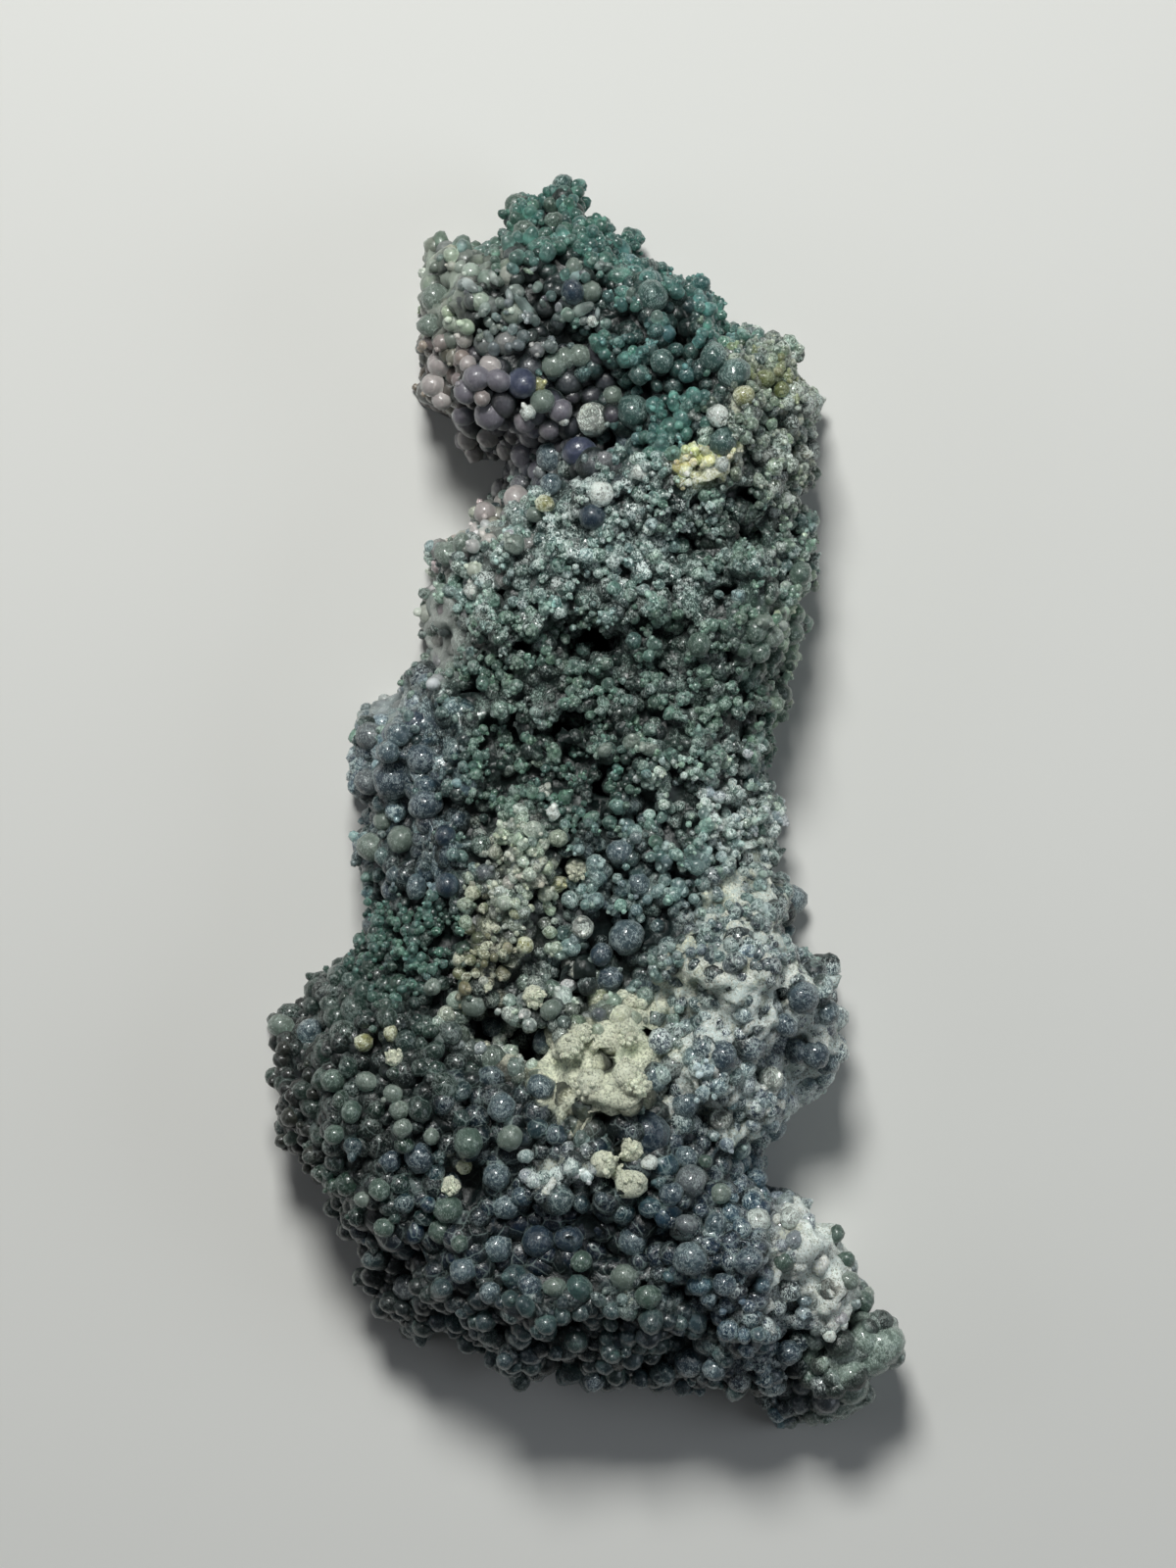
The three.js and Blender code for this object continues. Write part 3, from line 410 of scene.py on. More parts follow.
HEROES = (
    Hero(Look.VIOLET, 485, 385, 15), Hero(Look.LILAC, 499, 371, 12), Hero(Look.LILAC, 476, 369, 9),
    Hero(Look.VIOLET, 471, 401, 12), Hero(Look.VIOLET, 508, 388, 14), Hero(Look.INDIGO, 535, 392, 16, 1.4),
    Hero(Look.PALE, 554, 409, 13, 1.3), Hero(Look.YELLOW, 549, 392, 9), Hero(Look.WHITE, 539, 421, 9),
    Hero(Look.PALE, 566, 372, 13), Hero(Look.PALE, 577, 364, 12), Hero(Look.PALE, 589, 361, 12),
    Hero(Look.VIOLET, 574, 419, 13), Hero(Look.WHITE, 576, 430, 5), Hero(Look.EYE, 602, 426, 17),
    Hero(Look.PALE, 626, 402, 10), Hero(Look.VIOLET, 498, 427, 16), Hero(Look.VIOLET, 473, 427, 13),
    Hero(Look.LILAC, 496, 450, 12), Hero(Look.LILAC, 515, 461, 12), Hero(Look.LILAC, 475, 449, 12),
    Hero(Look.LILAC, 484, 466, 10), Hero(Look.VIOLET, 531, 463, 14), Hero(Look.STEEL, 559, 468, 17),
    Hero(Look.INDIGO, 590, 457, 18), Hero(Look.DEEP, 584, 296, 12, 1.5), Hero(Look.PALE, 585, 271, 9, 1.3),
    Hero(Look.WHITE, 604, 328, 6), Hero(Look.GREEN, 535, 234, 13, 1.3), Hero(Look.GREEN, 561, 208, 9, 1.4),
    Hero(Look.GREEN, 525, 205, 11), Hero(Look.GREEN, 566, 222, 10), Hero(Look.TEAL, 574, 186, 12, 1.3),
    Hero(Look.PALE, 604, 297, 11, 1.4), Hero(Look.PALE, 441, 300, 15), Hero(Look.LILAC, 439, 393, 13),
    Hero(Look.LILAC, 446, 373, 14), Hero(Look.LILAC, 448, 411, 11), Hero(Look.PALE, 435, 330, 13),
    Hero(Look.TEAL, 644, 420, 17), Hero(Look.STEEL, 637, 447, 14), Hero(Look.TEAL, 669, 301, 17),
    Hero(Look.TEAL, 676, 367, 12), Hero(Look.TEAL, 727, 365, 14, 1.2), Hero(Look.TEAL, 749, 381, 17),
    Hero(Look.YELLOW, 759, 403, 12), Hero(Look.WHITE, 730, 424, 12), Hero(Look.TEAL, 738, 450, 14),
    Hero(Look.TEAL, 650, 385, 12), Hero(Look.OLIVE, 784, 386, 11), Hero(Look.OLIVE, 797, 396, 9),
    Hero(Look.WHITE, 614, 504, 13), Hero(Look.WHITE, 650, 483, 10), Hero(Look.DEEP, 603, 528, 14),
    Hero(Look.YELLOW, 555, 513, 10), Hero(Look.PALE, 545, 526, 10), Hero(Look.PALE, 525, 552, 11),
    Hero(Look.LILAC, 494, 522, 12), Hero(Look.LILAC, 524, 507, 14), Hero(Look.PALE, 453, 566, 14),
    Hero(Look.PALE, 469, 551, 11), Hero(Look.WHITE, 482, 602, 10), Hero(Look.STEEL, 560, 491, 12),
    Hero(Look.GREEN, 770, 646, 13), Hero(Look.PALE, 790, 650, 12), Hero(Look.GREEN, 776, 668, 12),
    Hero(Look.GREEN, 792, 672, 10), Hero(Look.GREEN, 762, 664, 10), Hero(Look.PALE, 779, 634, 10), Hero(Look.GREEN, 812, 648, 14), Hero(Look.GREEN, 819, 583, 12),
    Hero(Look.TEAL, 646, 654, 9), Hero(Look.GREEN, 715, 657, 12), Hero(Look.PALE, 646, 755, 10), Hero(Look.PALE, 660, 764, 9),
    Hero(Look.PALE, 617, 764, 8), Hero(Look.GREEN, 799, 708, 12), Hero(Look.WHITE, 736, 474, 8),
    Hero(Look.ASH, 376, 751, 15), Hero(Look.STEEL, 403, 747, 14), Hero(Look.ASH, 372, 799, 15),
    Hero(Look.SLATE, 398, 799, 20), Hero(Look.SLATE, 433, 820, 18), Hero(Look.DEEP, 453, 851, 11),
    Hero(Look.DEEP, 453, 903, 13), Hero(Look.PALE, 374, 866, 16), Hero(Look.PALE, 388, 838, 11),
    Hero(Look.PALE, 407, 855, 14), Hero(Look.SLATE, 395, 907, 12), Hero(Look.STEEL, 425, 905, 14),
    Hero(Look.SLATE, 428, 775, 16), Hero(Look.STEEL, 395, 767, 12), Hero(Look.YELLOW, 570, 903, 10),
    Hero(Look.CREAM, 588, 889, 11), Hero(Look.WHITE, 563, 829, 8), Hero(Look.EYE, 594, 946, 11, 1.2),
    Hero(Look.EYE, 590, 986, 15, 1.2), Hero(Look.YELLOW, 536, 967, 9), Hero(Look.ASH, 494, 890, 10),
    Hero(Look.STEEL, 639, 956, 18), Hero(Look.STEEL, 652, 904, 13), Hero(Look.SLATE, 623, 999, 13), Hero(Look.SLATE, 614, 974, 13),
    Hero(Look.STEEL, 630, 870, 13), Hero(Look.SLATE, 823, 1021, 17), Hero(Look.STEEL, 848, 1035, 14),
    Hero(Look.SLATE, 805, 1049, 14), Hero(Look.STEEL, 811, 919, 16), Hero(Look.SLATE, 812, 1075, 13),
    Hero(Look.SLATE, 832, 1080, 15), Hero(Look.FROSTED, 676, 1062, 14), Hero(Look.ASH, 611, 1035, 8, 1.6),
    Hero(Look.CREAM, 600, 1106, 17), Hero(Look.CREAM, 641, 1094, 15), Hero(Look.CREAM, 596, 1056, 11),
    Hero(Look.CREAM, 583, 1070, 14), Hero(Look.CREAM, 650, 1107, 13), Hero(Look.CREAM, 545, 1018, 12),
    Hero(Look.PALE, 562, 1030, 12), Hero(Look.CREAM, 640, 1060, 11), Hero(Look.STEEL, 504, 1049, 12),
    Hero(Look.STEEL, 551, 1064, 13), Hero(Look.PALE, 482, 1029, 13), Hero(Look.PALE, 442, 1009, 9),
    Hero(Look.PALE, 285, 1044, 15), Hero(Look.STEEL, 314, 1050, 14), Hero(Look.YELLOW, 370, 1064, 10, 1.3),
    Hero(Look.YELLOW, 398, 1055, 8), Hero(Look.CREAM, 401, 1077, 9), Hero(Look.PALE, 371, 1103, 12),
    Hero(Look.PALE, 398, 1117, 11), Hero(Look.PALE, 405, 1134, 11), Hero(Look.PALE, 409, 1150, 10),
    Hero(Look.PALE, 441, 1161, 9), Hero(Look.GREEN, 479, 1167, 16), Hero(Look.PALE, 519, 1162, 13),
    Hero(Look.STEEL, 512, 1130, 16), Hero(Look.STEEL, 552, 1109, 15), Hero(Look.GREEN, 338, 1102, 12),
    Hero(Look.GREEN, 360, 1134, 12), Hero(Look.GREEN, 340, 1159, 11), Hero(Look.PALE, 296, 1162, 10),
    Hero(Look.SLATE, 429, 1185, 16), Hero(Look.WHITE, 429, 1182, 5), Hero(Look.SLATE, 399, 1185, 12),
    Hero(Look.CREAM, 460, 1210, 10), Hero(Look.STEEL, 506, 1201, 15), Hero(Look.STEEL, 517, 1234, 15),
    Hero(Look.GREEN, 457, 1234, 16), Hero(Look.GREEN, 386, 1215, 12), Hero(Look.PALE, 366, 1224, 9),
    Hero(Look.YELLOW, 473, 1192, 9), Hero(Look.STEEL, 701, 1128, 15), Hero(Look.DEEP, 662, 1155, 22),
    Hero(Look.CREAM, 643, 1171, 13), Hero(Look.CREAM, 618, 1187, 14), Hero(Look.CREAM, 643, 1208, 16),
    Hero(Look.CREAM, 630, 1196, 11),
    Hero(Look.WHITE, 665, 1187, 9), Hero(Look.STEEL, 703, 1178, 13), Hero(Look.ASH, 707, 1206, 17),
    Hero(Look.SLATE, 682, 1217, 13), Hero(Look.GREEN, 721, 1183, 7), Hero(Look.PALE, 737, 1217, 11),
    Hero(Look.ASH, 700, 1251, 12), Hero(Look.STEEL, 732, 1247, 13), Hero(Look.EYE, 735, 1141, 12),
    Hero(Look.SLATE, 740, 1077, 15), Hero(Look.EYE, 788, 1099, 13), Hero(Look.STEEL, 845, 1089, 13),
    Hero(Look.STEEL, 508, 1274, 15), Hero(Look.GREEN, 468, 1269, 10), Hero(Look.GREEN, 447, 1254, 14),
    Hero(Look.GREEN, 389, 1254, 11), Hero(Look.STEEL, 470, 1300, 15), Hero(Look.DEEP, 549, 1267, 17),
    Hero(Look.DEEP, 580, 1263, 14), Hero(Look.STEEL, 497, 1318, 12), Hero(Look.SLATE, 540, 1309, 13),
    Hero(Look.PALE, 566, 1312, 12), Hero(Look.GREEN, 595, 1287, 12), Hero(Look.PALE, 637, 1302, 15, 1.2),
    Hero(Look.STEEL, 647, 1266, 16), Hero(Look.GREEN, 662, 1323, 14), Hero(Look.ASH, 412, 1314, 14),
    Hero(Look.SLATE, 604, 1412, 12), Hero(Look.STEEL, 701, 1287, 18), Hero(Look.SLATE, 766, 1287, 16),
    Hero(Look.SLATE, 737, 1312, 13), Hero(Look.SLATE, 700, 1392, 17), Hero(Look.STEEL, 728, 1401, 13),
    Hero(Look.WHITE, 775, 1243, 14), Hero(Look.WHITE, 806, 1240, 11), Hero(Look.GREEN, 855, 1258, 9, 1.3),
    Hero(Look.GREEN, 863, 1286, 11, 1.5), Hero(Look.GREEN, 884, 1327, 12), Hero(Look.GLASS, 903, 1371, 22),
    Hero(Look.PALE, 869, 1308, 10), Hero(Look.GLASS, 889, 1388, 22), Hero(Look.GLASS, 868, 1420, 17), Hero(Look.GLASS, 884, 1368, 20),
    Hero(Look.ASH, 842, 1432, 16), Hero(Look.ASH, 816, 1434, 13), Hero(Look.GLASS, 860, 1374, 16),
    Hero(Look.GLASS, 882, 1348, 16), Hero(Look.GLASS, 864, 1396, 17), Hero(Look.GREEN, 842, 1404, 15), Hero(Look.ASH, 814, 1414, 13),
    Hero(Look.GREEN, 830, 1384, 16), Hero(Look.SLATE, 806, 1381, 14), Hero(Look.GREEN, 800, 1290, 12),
)

PITS = (
    (598, 658, 23, 15), (569, 749, 28, 9), (714, 950, 6, 6), (705, 595, 10, 5), (703, 555, 8, 8),
    (765, 516, 7, 7), (795, 498, 8, 8), (679, 633, 7, 5), (699, 724, 9, 8), (613, 800, 5, 17),
    (529, 768, 10, 6), (482, 703, 8, 6), (669, 326, 9, 8), (699, 342, 12, 10), (761, 450, 7, 6),
    (798, 1011, 7, 6), (375, 1038, 13, 5), (398, 948, 10, 4), (530, 1070, 12, 5), (616, 1139, 13, 7),
    (617, 1077, 11, 14), (500, 1341, 9, 6), (582, 1350, 11, 5), (656, 1305, 6, 6), (800, 1369, 11, 5), (564, 440, 12, 7),
    (682, 601, 9, 5), (648, 630, 8, 6), (737, 606, 7, 5), (682, 683, 12, 4), (633, 700, 7, 5), (588, 731, 10, 5),
    (534, 660, 10, 6), (742, 672, 7, 5), (506, 606, 8, 6), (752, 692, 6, 8), (606, 1008, 7, 4), (662, 1050, 6, 6),
    (556, 916, 12, 3), (618, 890, 9, 6), (628, 912, 7, 5), (518, 1038, 9, 5),
)


@dataclass
class Balls:
    """A heap of balls as plain arrays, in millimetres."""

    centre: list[Vector] = field(default_factory=list)
    anchor: list[Vector] = field(default_factory=list)
    outward: list[Vector] = field(default_factory=list)
    radius: list[float] = field(default_factory=list)
    core: list[Colour] = field(default_factory=list)
    rim: list[Colour] = field(default_factory=list)
    frost: list[float] = field(default_factory=list)
    crust: list[float] = field(default_factory=list)
    web: list[float] = field(default_factory=list)
    hollow: list[float] = field(default_factory=list)
    tall: list[float] = field(default_factory=list)
    is_deep: list[bool] = field(default_factory=list)

    def add(self, centre: Vector, anchor: Vector, outward: Vector, radius: float, core: Colour, rim: Colour,
            frost: float, crust: float, web: float, hollow: float, tall: float, is_deep: bool) -> None:
        """Adds one ball.

        Args:
            centre: Middle of the ball.
            anchor: The point of the specimen's skin that it belongs to.
            outward: Direction that its top faces.
            radius: Radius of the ball.
            core: Colour of its top.
            rim: Lighter colour of its sides, for the painted rim glow.
            frost: Amount of white frost.
            crust: Amount of chalky crust.
            web: Strength of the white lines where it meets its neighbours.
            hollow: How far its top is sunk.
            tall: How much longer than wide it is.
            is_deep: Whether it belongs to the fused balls beneath the proud ones.
        """
        self.centre.append(centre)
        self.anchor.append(anchor)
        self.outward.append(outward)
        self.radius.append(radius)
        self.core.append(core)
        self.rim.append(rim)
        self.frost.append(frost)
        self.crust.append(crust)
        self.web.append(web)
        self.hollow.append(hollow)
        self.tall.append(tall)
        self.is_deep.append(is_deep)

    def __len__(self) -> int:
        """Returns how many balls there are."""
        return len(self.radius)


class Socket:
    """A shader or geometry value that Python expressions can reckon with."""

    def __init__(self, maker: "TreeMaker", socket: bpy.types.NodeSocket) -> None:
        """Keeps the tree's maker and the output socket.

        Args:
            maker: Maker of the tree that the socket is in.
            socket: Output socket of a node.
        """
        self.maker = maker
        self.socket = socket

    def _math(self, operation: str, first: object, second: object) -> "Socket":
        """Adds a Math node.

        Args:
            operation: The node's operation.
            first: First value or socket.
            second: Second value or socket.

        Returns:
            The result.
        """
        return self.maker.node("ShaderNodeMath", {"operation": operation}, {0: first, 1: second})

    def other(self, name: str) -> "Socket":
        """Returns another output of the same node."""
        return Socket(self.maker, self.socket.node.outputs[name])

    def __add__(self, other: object) -> "Socket":
        """Returns self + other."""
        return self._math("ADD", self, other)

    __radd__ = __add__

    def __mul__(self, other: object) -> "Socket":
        """Returns self * other."""
        return self._math("MULTIPLY", self, other)

    __rmul__ = __mul__

    def __sub__(self, other: object) -> "Socket":
        """Returns self - other."""
        return self._math("SUBTRACT", self, other)

    def __rsub__(self, other: object) -> "Socket":
        """Returns other - self."""
        return self._math("SUBTRACT", other, self)


class TreeMaker:
    """Builds a node tree from Python calls."""

    def __init__(self, tree: bpy.types.NodeTree) -> None:
        """Keeps the tree.

        Args:
            tree: A shader or geometry node tree.
        """
        self.tree = tree

    def node(self, kind: str, settings: dict[str, object] | None = None,
             inputs: dict[int | str, object] | None = None, output: int | str = 0) -> Socket:
        """Adds a node with its settings, its values and its links.

        Args:
            kind: The node's type.
            settings: Attributes of the node, which are set first.
            inputs: Values or sockets by input name or number.
            output: The output that is returned.

        Returns:
            One output of the node.
        """
        node = self.tree.nodes.new(kind)
        for name, value in (settings or {}).items():
            setattr(node, name, value)
        for key, value in (inputs or {}).items():
            if isinstance(value, Socket):
                self.tree.links.new(value.socket, node.inputs[key])
            else:
                node.inputs[key].default_value = value
        return Socket(self, node.outputs[output]) if node.outputs else Socket(self, None)

    def ramp(self, value: object, low: float, high: float) -> Socket:
        """Rises smoothly from 0 to 1 between two values.

        Args:
            value: The value that is read.
            low: Where the result is 0.
            high: Where the result is 1.

        Returns:
            The smooth step.
        """
        return self.node("ShaderNodeMapRange", {"interpolation_type": "SMOOTHSTEP"},
                         {"Value": value, "From Min": low, "From Max": high})

    def mix(self, factor: object, first: object, second: object, blend: str = "MIX") -> Socket:
        """Mixes two colours.

        Args:
            factor: Share of the second colour.
            first: First colour.
            second: Second colour.
            blend: Blend type.

        Returns:
            The mixed colour.
        """
        return self.node("ShaderNodeMix", {"data_type": "RGBA", "blend_type": blend, "clamp_factor": True},
                         {0: factor, 6: first, 7: second}, 2)

    def noise(self, place: Socket, size: float, detail: float = 2.0, roughness: float = 0.5) -> Socket:
        """Adds a noise pattern.

        Args:
            place: Coordinates in metres.
            size: Size of the pattern's features in millimetres.
            detail: Number of finer octaves.
            roughness: Strength of the finer octaves.

        Returns:
            The pattern, from about 0.2 to 0.8.
        """
        return self.node("ShaderNodeTexNoise", {}, {"Vector": place, "Scale": 1.0 / (size * MM),
                                                    "Detail": detail, "Roughness": roughness})


@dataclass(frozen=True)
class StoneFinish:
    """Waxy translucent chalcedony with frost, crust and a pale web in its creases; its shade in gaps and pits, rim glow
    and glints are painted.
    """

    name: str = "chalcedony_skin"
    # White of the frost, also used for the painted glints.
    frost_and_glint_colour: Colour = (234, 245, 241)
    crust_light: Colour = (224, 227, 204)
    crust_white: Colour = (236, 240, 234)
    crust_dark: Colour = (134, 138, 120)
    web_colour: Colour = (176, 196, 190)
    # Near-black colour of the painted shade in the gaps and on dark frost facets.
    painted_shade_colour: Colour = (7, 17, 16)
    # Colour of the painted shadow in the pits.
    pit_shadow_colour: Colour = (3, 5, 6)
    band_light: Colour = (132, 146, 142)
    band_dark: Colour = (62, 82, 84)
    heart_light: Colour = (150, 158, 148)
    heart_dark: Colour = (70, 92, 92)
    stain_colour: Colour = (128, 108, 74)
    band_per_mm: float = 0.001
    band_noise_mm: float = 0.9
    sheen_tint: Colour = (214, 236, 230)
    # Share of the painted rim glow that lies over the whole ball.
    least_rim_glow: float = 0.24
    bare_roughness: float = 0.34
    frost_roughness: float = 0.28
    chalk_roughness: float = 0.85
    speck_mm: float = 0.16
    fibre_draw: tuple[float, float, float] = (1.0, 0.5, 0.8)
    mottle_mm: float = 1.1
    vein_mm: float = 2.6
    bump_mm: float = 0.30
    plate_mm: float = 0.42
    plate_lean: float = 1.1

    def build(self) -> bpy.types.Material:
        """Builds the material.

        Returns:
            The material, which reads the attributes that each piece carries.
        """
        material = bpy.data.materials.new(self.name)
        material.use_nodes = True
        tree = material.node_tree
        tree.nodes.clear()
        maker = TreeMaker(tree)
        place = maker.node("ShaderNodeTexCoord", {}, {}, "Object")

        def attribute(name: str, output: str = "Fac") -> Socket:
            """Returns one of the attributes that a piece carries."""
            return maker.node("ShaderNodeAttribute", {"attribute_name": name}, {}, output)

        cap = attribute("cap")
        crease = attribute("crease")
        depth = attribute("depth")
        frost = attribute("frost")
        crust = attribute("crust")
        web = attribute("web")
        core = attribute("core", "Color")
        rim = attribute("rim", "Color")
        cut = attribute("cut")
        inset = attribute("inset")

        mottle = maker.noise(place, self.mottle_mm, 3.0, 0.6)
        drawn = maker.node("ShaderNodeVectorMath", {"operation": "MULTIPLY"}, {0: place, 1: self.fibre_draw})
        specks = maker.noise(drawn, self.speck_mm, 2.0, 0.6)
        patches = maker.noise(place, 3.2, 3.0, 0.55)
        fine = maker.noise(place, 0.34, 3.0, 0.65)

        plate = maker.node("ShaderNodeTexVoronoi", {"feature": "F1"},
                           {"Vector": place, "Scale": 1.0 / (self.plate_mm * MM)}, "Color")
        lean = maker.node("ShaderNodeVectorMath", {"operation": "SUBTRACT"}, {0: plate, 1: (0.5, 0.5, 0.5)})
        away = maker.node("ShaderNodeVectorMath", {"operation": "SUBTRACT"}, {0: place, 1: plate.other("Position")})
        slope = maker.node("ShaderNodeVectorMath", {"operation": "DOT_PRODUCT"}, {0: lean, 1: away}, "Value")
        chance = maker.node("ShaderNodeSeparateColor", {}, {0: plate})
        druse = maker.ramp(frost, 0.05, 0.75) * (1 - cut)

        # Painted rim glow: each ball's sides turn to its lighter rim colour, standing in for light glowing through the
        # thin edge, and a fixed share of that colour lies over the whole ball.
        painted_rim_glow = 1 - maker.ramp(cap + (mottle - 0.5) * 0.3, -0.05, 0.52)
        body = maker.mix(painted_rim_glow * (1 - self.least_rim_glow) + self.least_rim_glow, core, rim)
        ring = maker.ramp(cap, 0.70, 0.78) * (1 - maker.ramp(cap, 0.80, 0.88)) * maker.ramp(patches, 0.5, 0.58)
        body = maker.mix(maker.ramp(mottle, 0.48, 0.78) * 0.3 + ring * 0.45, body, rim)
        frost_and_glint_tone = maker.mix(maker.ramp(frost, 0.35, 1.1) * 0.78 + 0.22, rim, linear(self.frost_and_glint_colour))
        # Painted facet shade: random facets of the frost darken, as if turned away from the light.
        body = maker.mix((1 - maker.ramp(chance, 0.0, 0.5)) * druse * 0.45, body, linear(self.painted_shade_colour))
        # Painted glints: random facets of the frost turn towards the frost colour, as if catching the lamp.
        body = maker.mix(maker.ramp(chance, 0.6, 1.0) * (druse * 0.4 + 0.06), body, frost_and_glint_tone)
        # Painted shade: the colour darkens towards the near-black shade colour the deeper a vertex lies below the skin,
        # standing in for the shade in the gaps between the balls.
        painted_depth_shade = maker.ramp(depth, 0.4, 1.6)
        body = maker.mix(painted_depth_shade * 0.92, body, linear(self.painted_shade_colour))
        # Painted shadow: the deepest places, in the pits, turn near-black.
        body = maker.mix(maker.ramp(depth, 2.4, 3.6), body, linear(self.pit_shadow_colour))

        chalk = maker.ramp(crust + (patches - 0.5) * 1.2 + (fine - 0.5) * 0.9, 0.42, 0.62)
        chalk_light = maker.mix(maker.ramp(frost, 0.5, 0.75), linear(self.crust_light),
                                linear(self.crust_white))
        chalk_colour = maker.mix(maker.ramp(fine, 0.3, 0.6), linear(self.crust_dark), chalk_light)
        body = maker.mix(chalk * (1 - painted_depth_shade * 0.92), body, chalk_colour)

        wavy = maker.node("ShaderNodeTexNoise", {}, {"Vector": place, "Scale": 500.0, "Detail": 2.0}, "Color")
        bent = maker.node("ShaderNodeVectorMath", {"operation": "MULTIPLY_ADD"},
                          {0: wavy, 1: (0.0011, 0.0011, 0.0011), 2: place})
        vein = maker.node("ShaderNodeTexVoronoi", {"feature": "DISTANCE_TO_EDGE"},
                          {"Vector": bent, "Scale": 1.0 / (self.vein_mm * MM)})
        vein = 1 - maker.ramp(vein, 0.014, 0.05)
        line = maker.ramp(crease + (fine - 0.5) * 0.3, 0.84, 0.98)
        line = maker.ramp(line * 0.75 + vein * 0.6, 0.0, 1.0)
        line = line * web * maker.ramp(patches, 0.32, 0.50) * (1 - painted_depth_shade * 0.4)
        body = maker.mix(line * 0.8, body, linear(self.web_colour))

        # White frost specks: partly the real white crust of tiny crystals, partly painted sparkle highlights.
        speckle = maker.ramp(specks + (patches - 0.5) * 0.5 + (chance - 0.5) * 0.14 + frost * 0.14, 0.61, 0.67)
        speckle = speckle * maker.ramp(frost, 0.02, 0.4) * (1 - maker.ramp(depth, 0.7, 2.0) * 0.8)
        body = maker.mix(speckle * 0.85, body, frost_and_glint_tone)

        layer = maker.node("ShaderNodeCombineXYZ", {}, {
            0: inset * self.band_per_mm + mottle * 0.0005 + patches * 0.0016})
        band = maker.noise(layer, self.band_noise_mm, 2.0, 0.6)
        banded = maker.mix(maker.ramp(band + (fine - 0.5) * 0.3, 0.42, 0.58), linear(self.band_dark),
                           linear(self.band_light))
        banded = maker.mix(maker.ramp(inset, 3.0, 9.0) * maker.ramp(patches, 0.38, 0.56), banded,
                           maker.mix(maker.ramp(mottle, 0.4, 0.6), linear(self.heart_dark), linear(self.heart_light)))
        banded = maker.mix(maker.ramp(patches + fine * 0.3, 0.72, 0.84) * 0.5, banded, linear(self.stain_colour))
        body = maker.mix(cut, body, banded)

        rough = maker.mix(speckle, (self.bare_roughness,) * 3 + (1.0,), (self.frost_roughness,) * 3 + (1.0,))
        rough = maker.mix(maker.ramp(chalk + cut * 0.5, 0.0, 1.0), rough, (self.chalk_roughness,) * 3 + (1.0,))

        height = fine * (0.4 + chalk * 1.2) + specks * (0.3 + chalk * 0.8 + speckle * 1.6) + mottle * (0.6 + chalk)
        height = height + slope * ((druse + 0.12) * (self.plate_lean / (self.bump_mm * MM)))
        bump = maker.node("ShaderNodeBump", {}, {"Strength": 0.55, "Distance": self.bump_mm * MM,
                                                 "Height": height})
        coat = (1 - chalk) * (1 - speckle * 0.4) * (1 - painted_depth_shade) * (druse * 0.45 + 0.34)
        shader = maker.node("ShaderNodeBsdfPrincipled", {"subsurface_method": "BURLEY"}, {
            "Base Color": body, "Roughness": rough, "Normal": bump, "IOR": 1.53,
            "Subsurface Weight": 0.65, "Subsurface Radius": (0.85, 1.0, 0.97), "Subsurface Scale": 1.8 * MM,
            "Coat Weight": coat, "Coat Roughness": 0.08, "Sheen Weight": 0.13, "Sheen Roughness": 0.35,
            "Sheen Tint": linear(self.sheen_tint),
        })
        maker.node("ShaderNodeOutputMaterial", {}, {"Surface": shader})
        return material


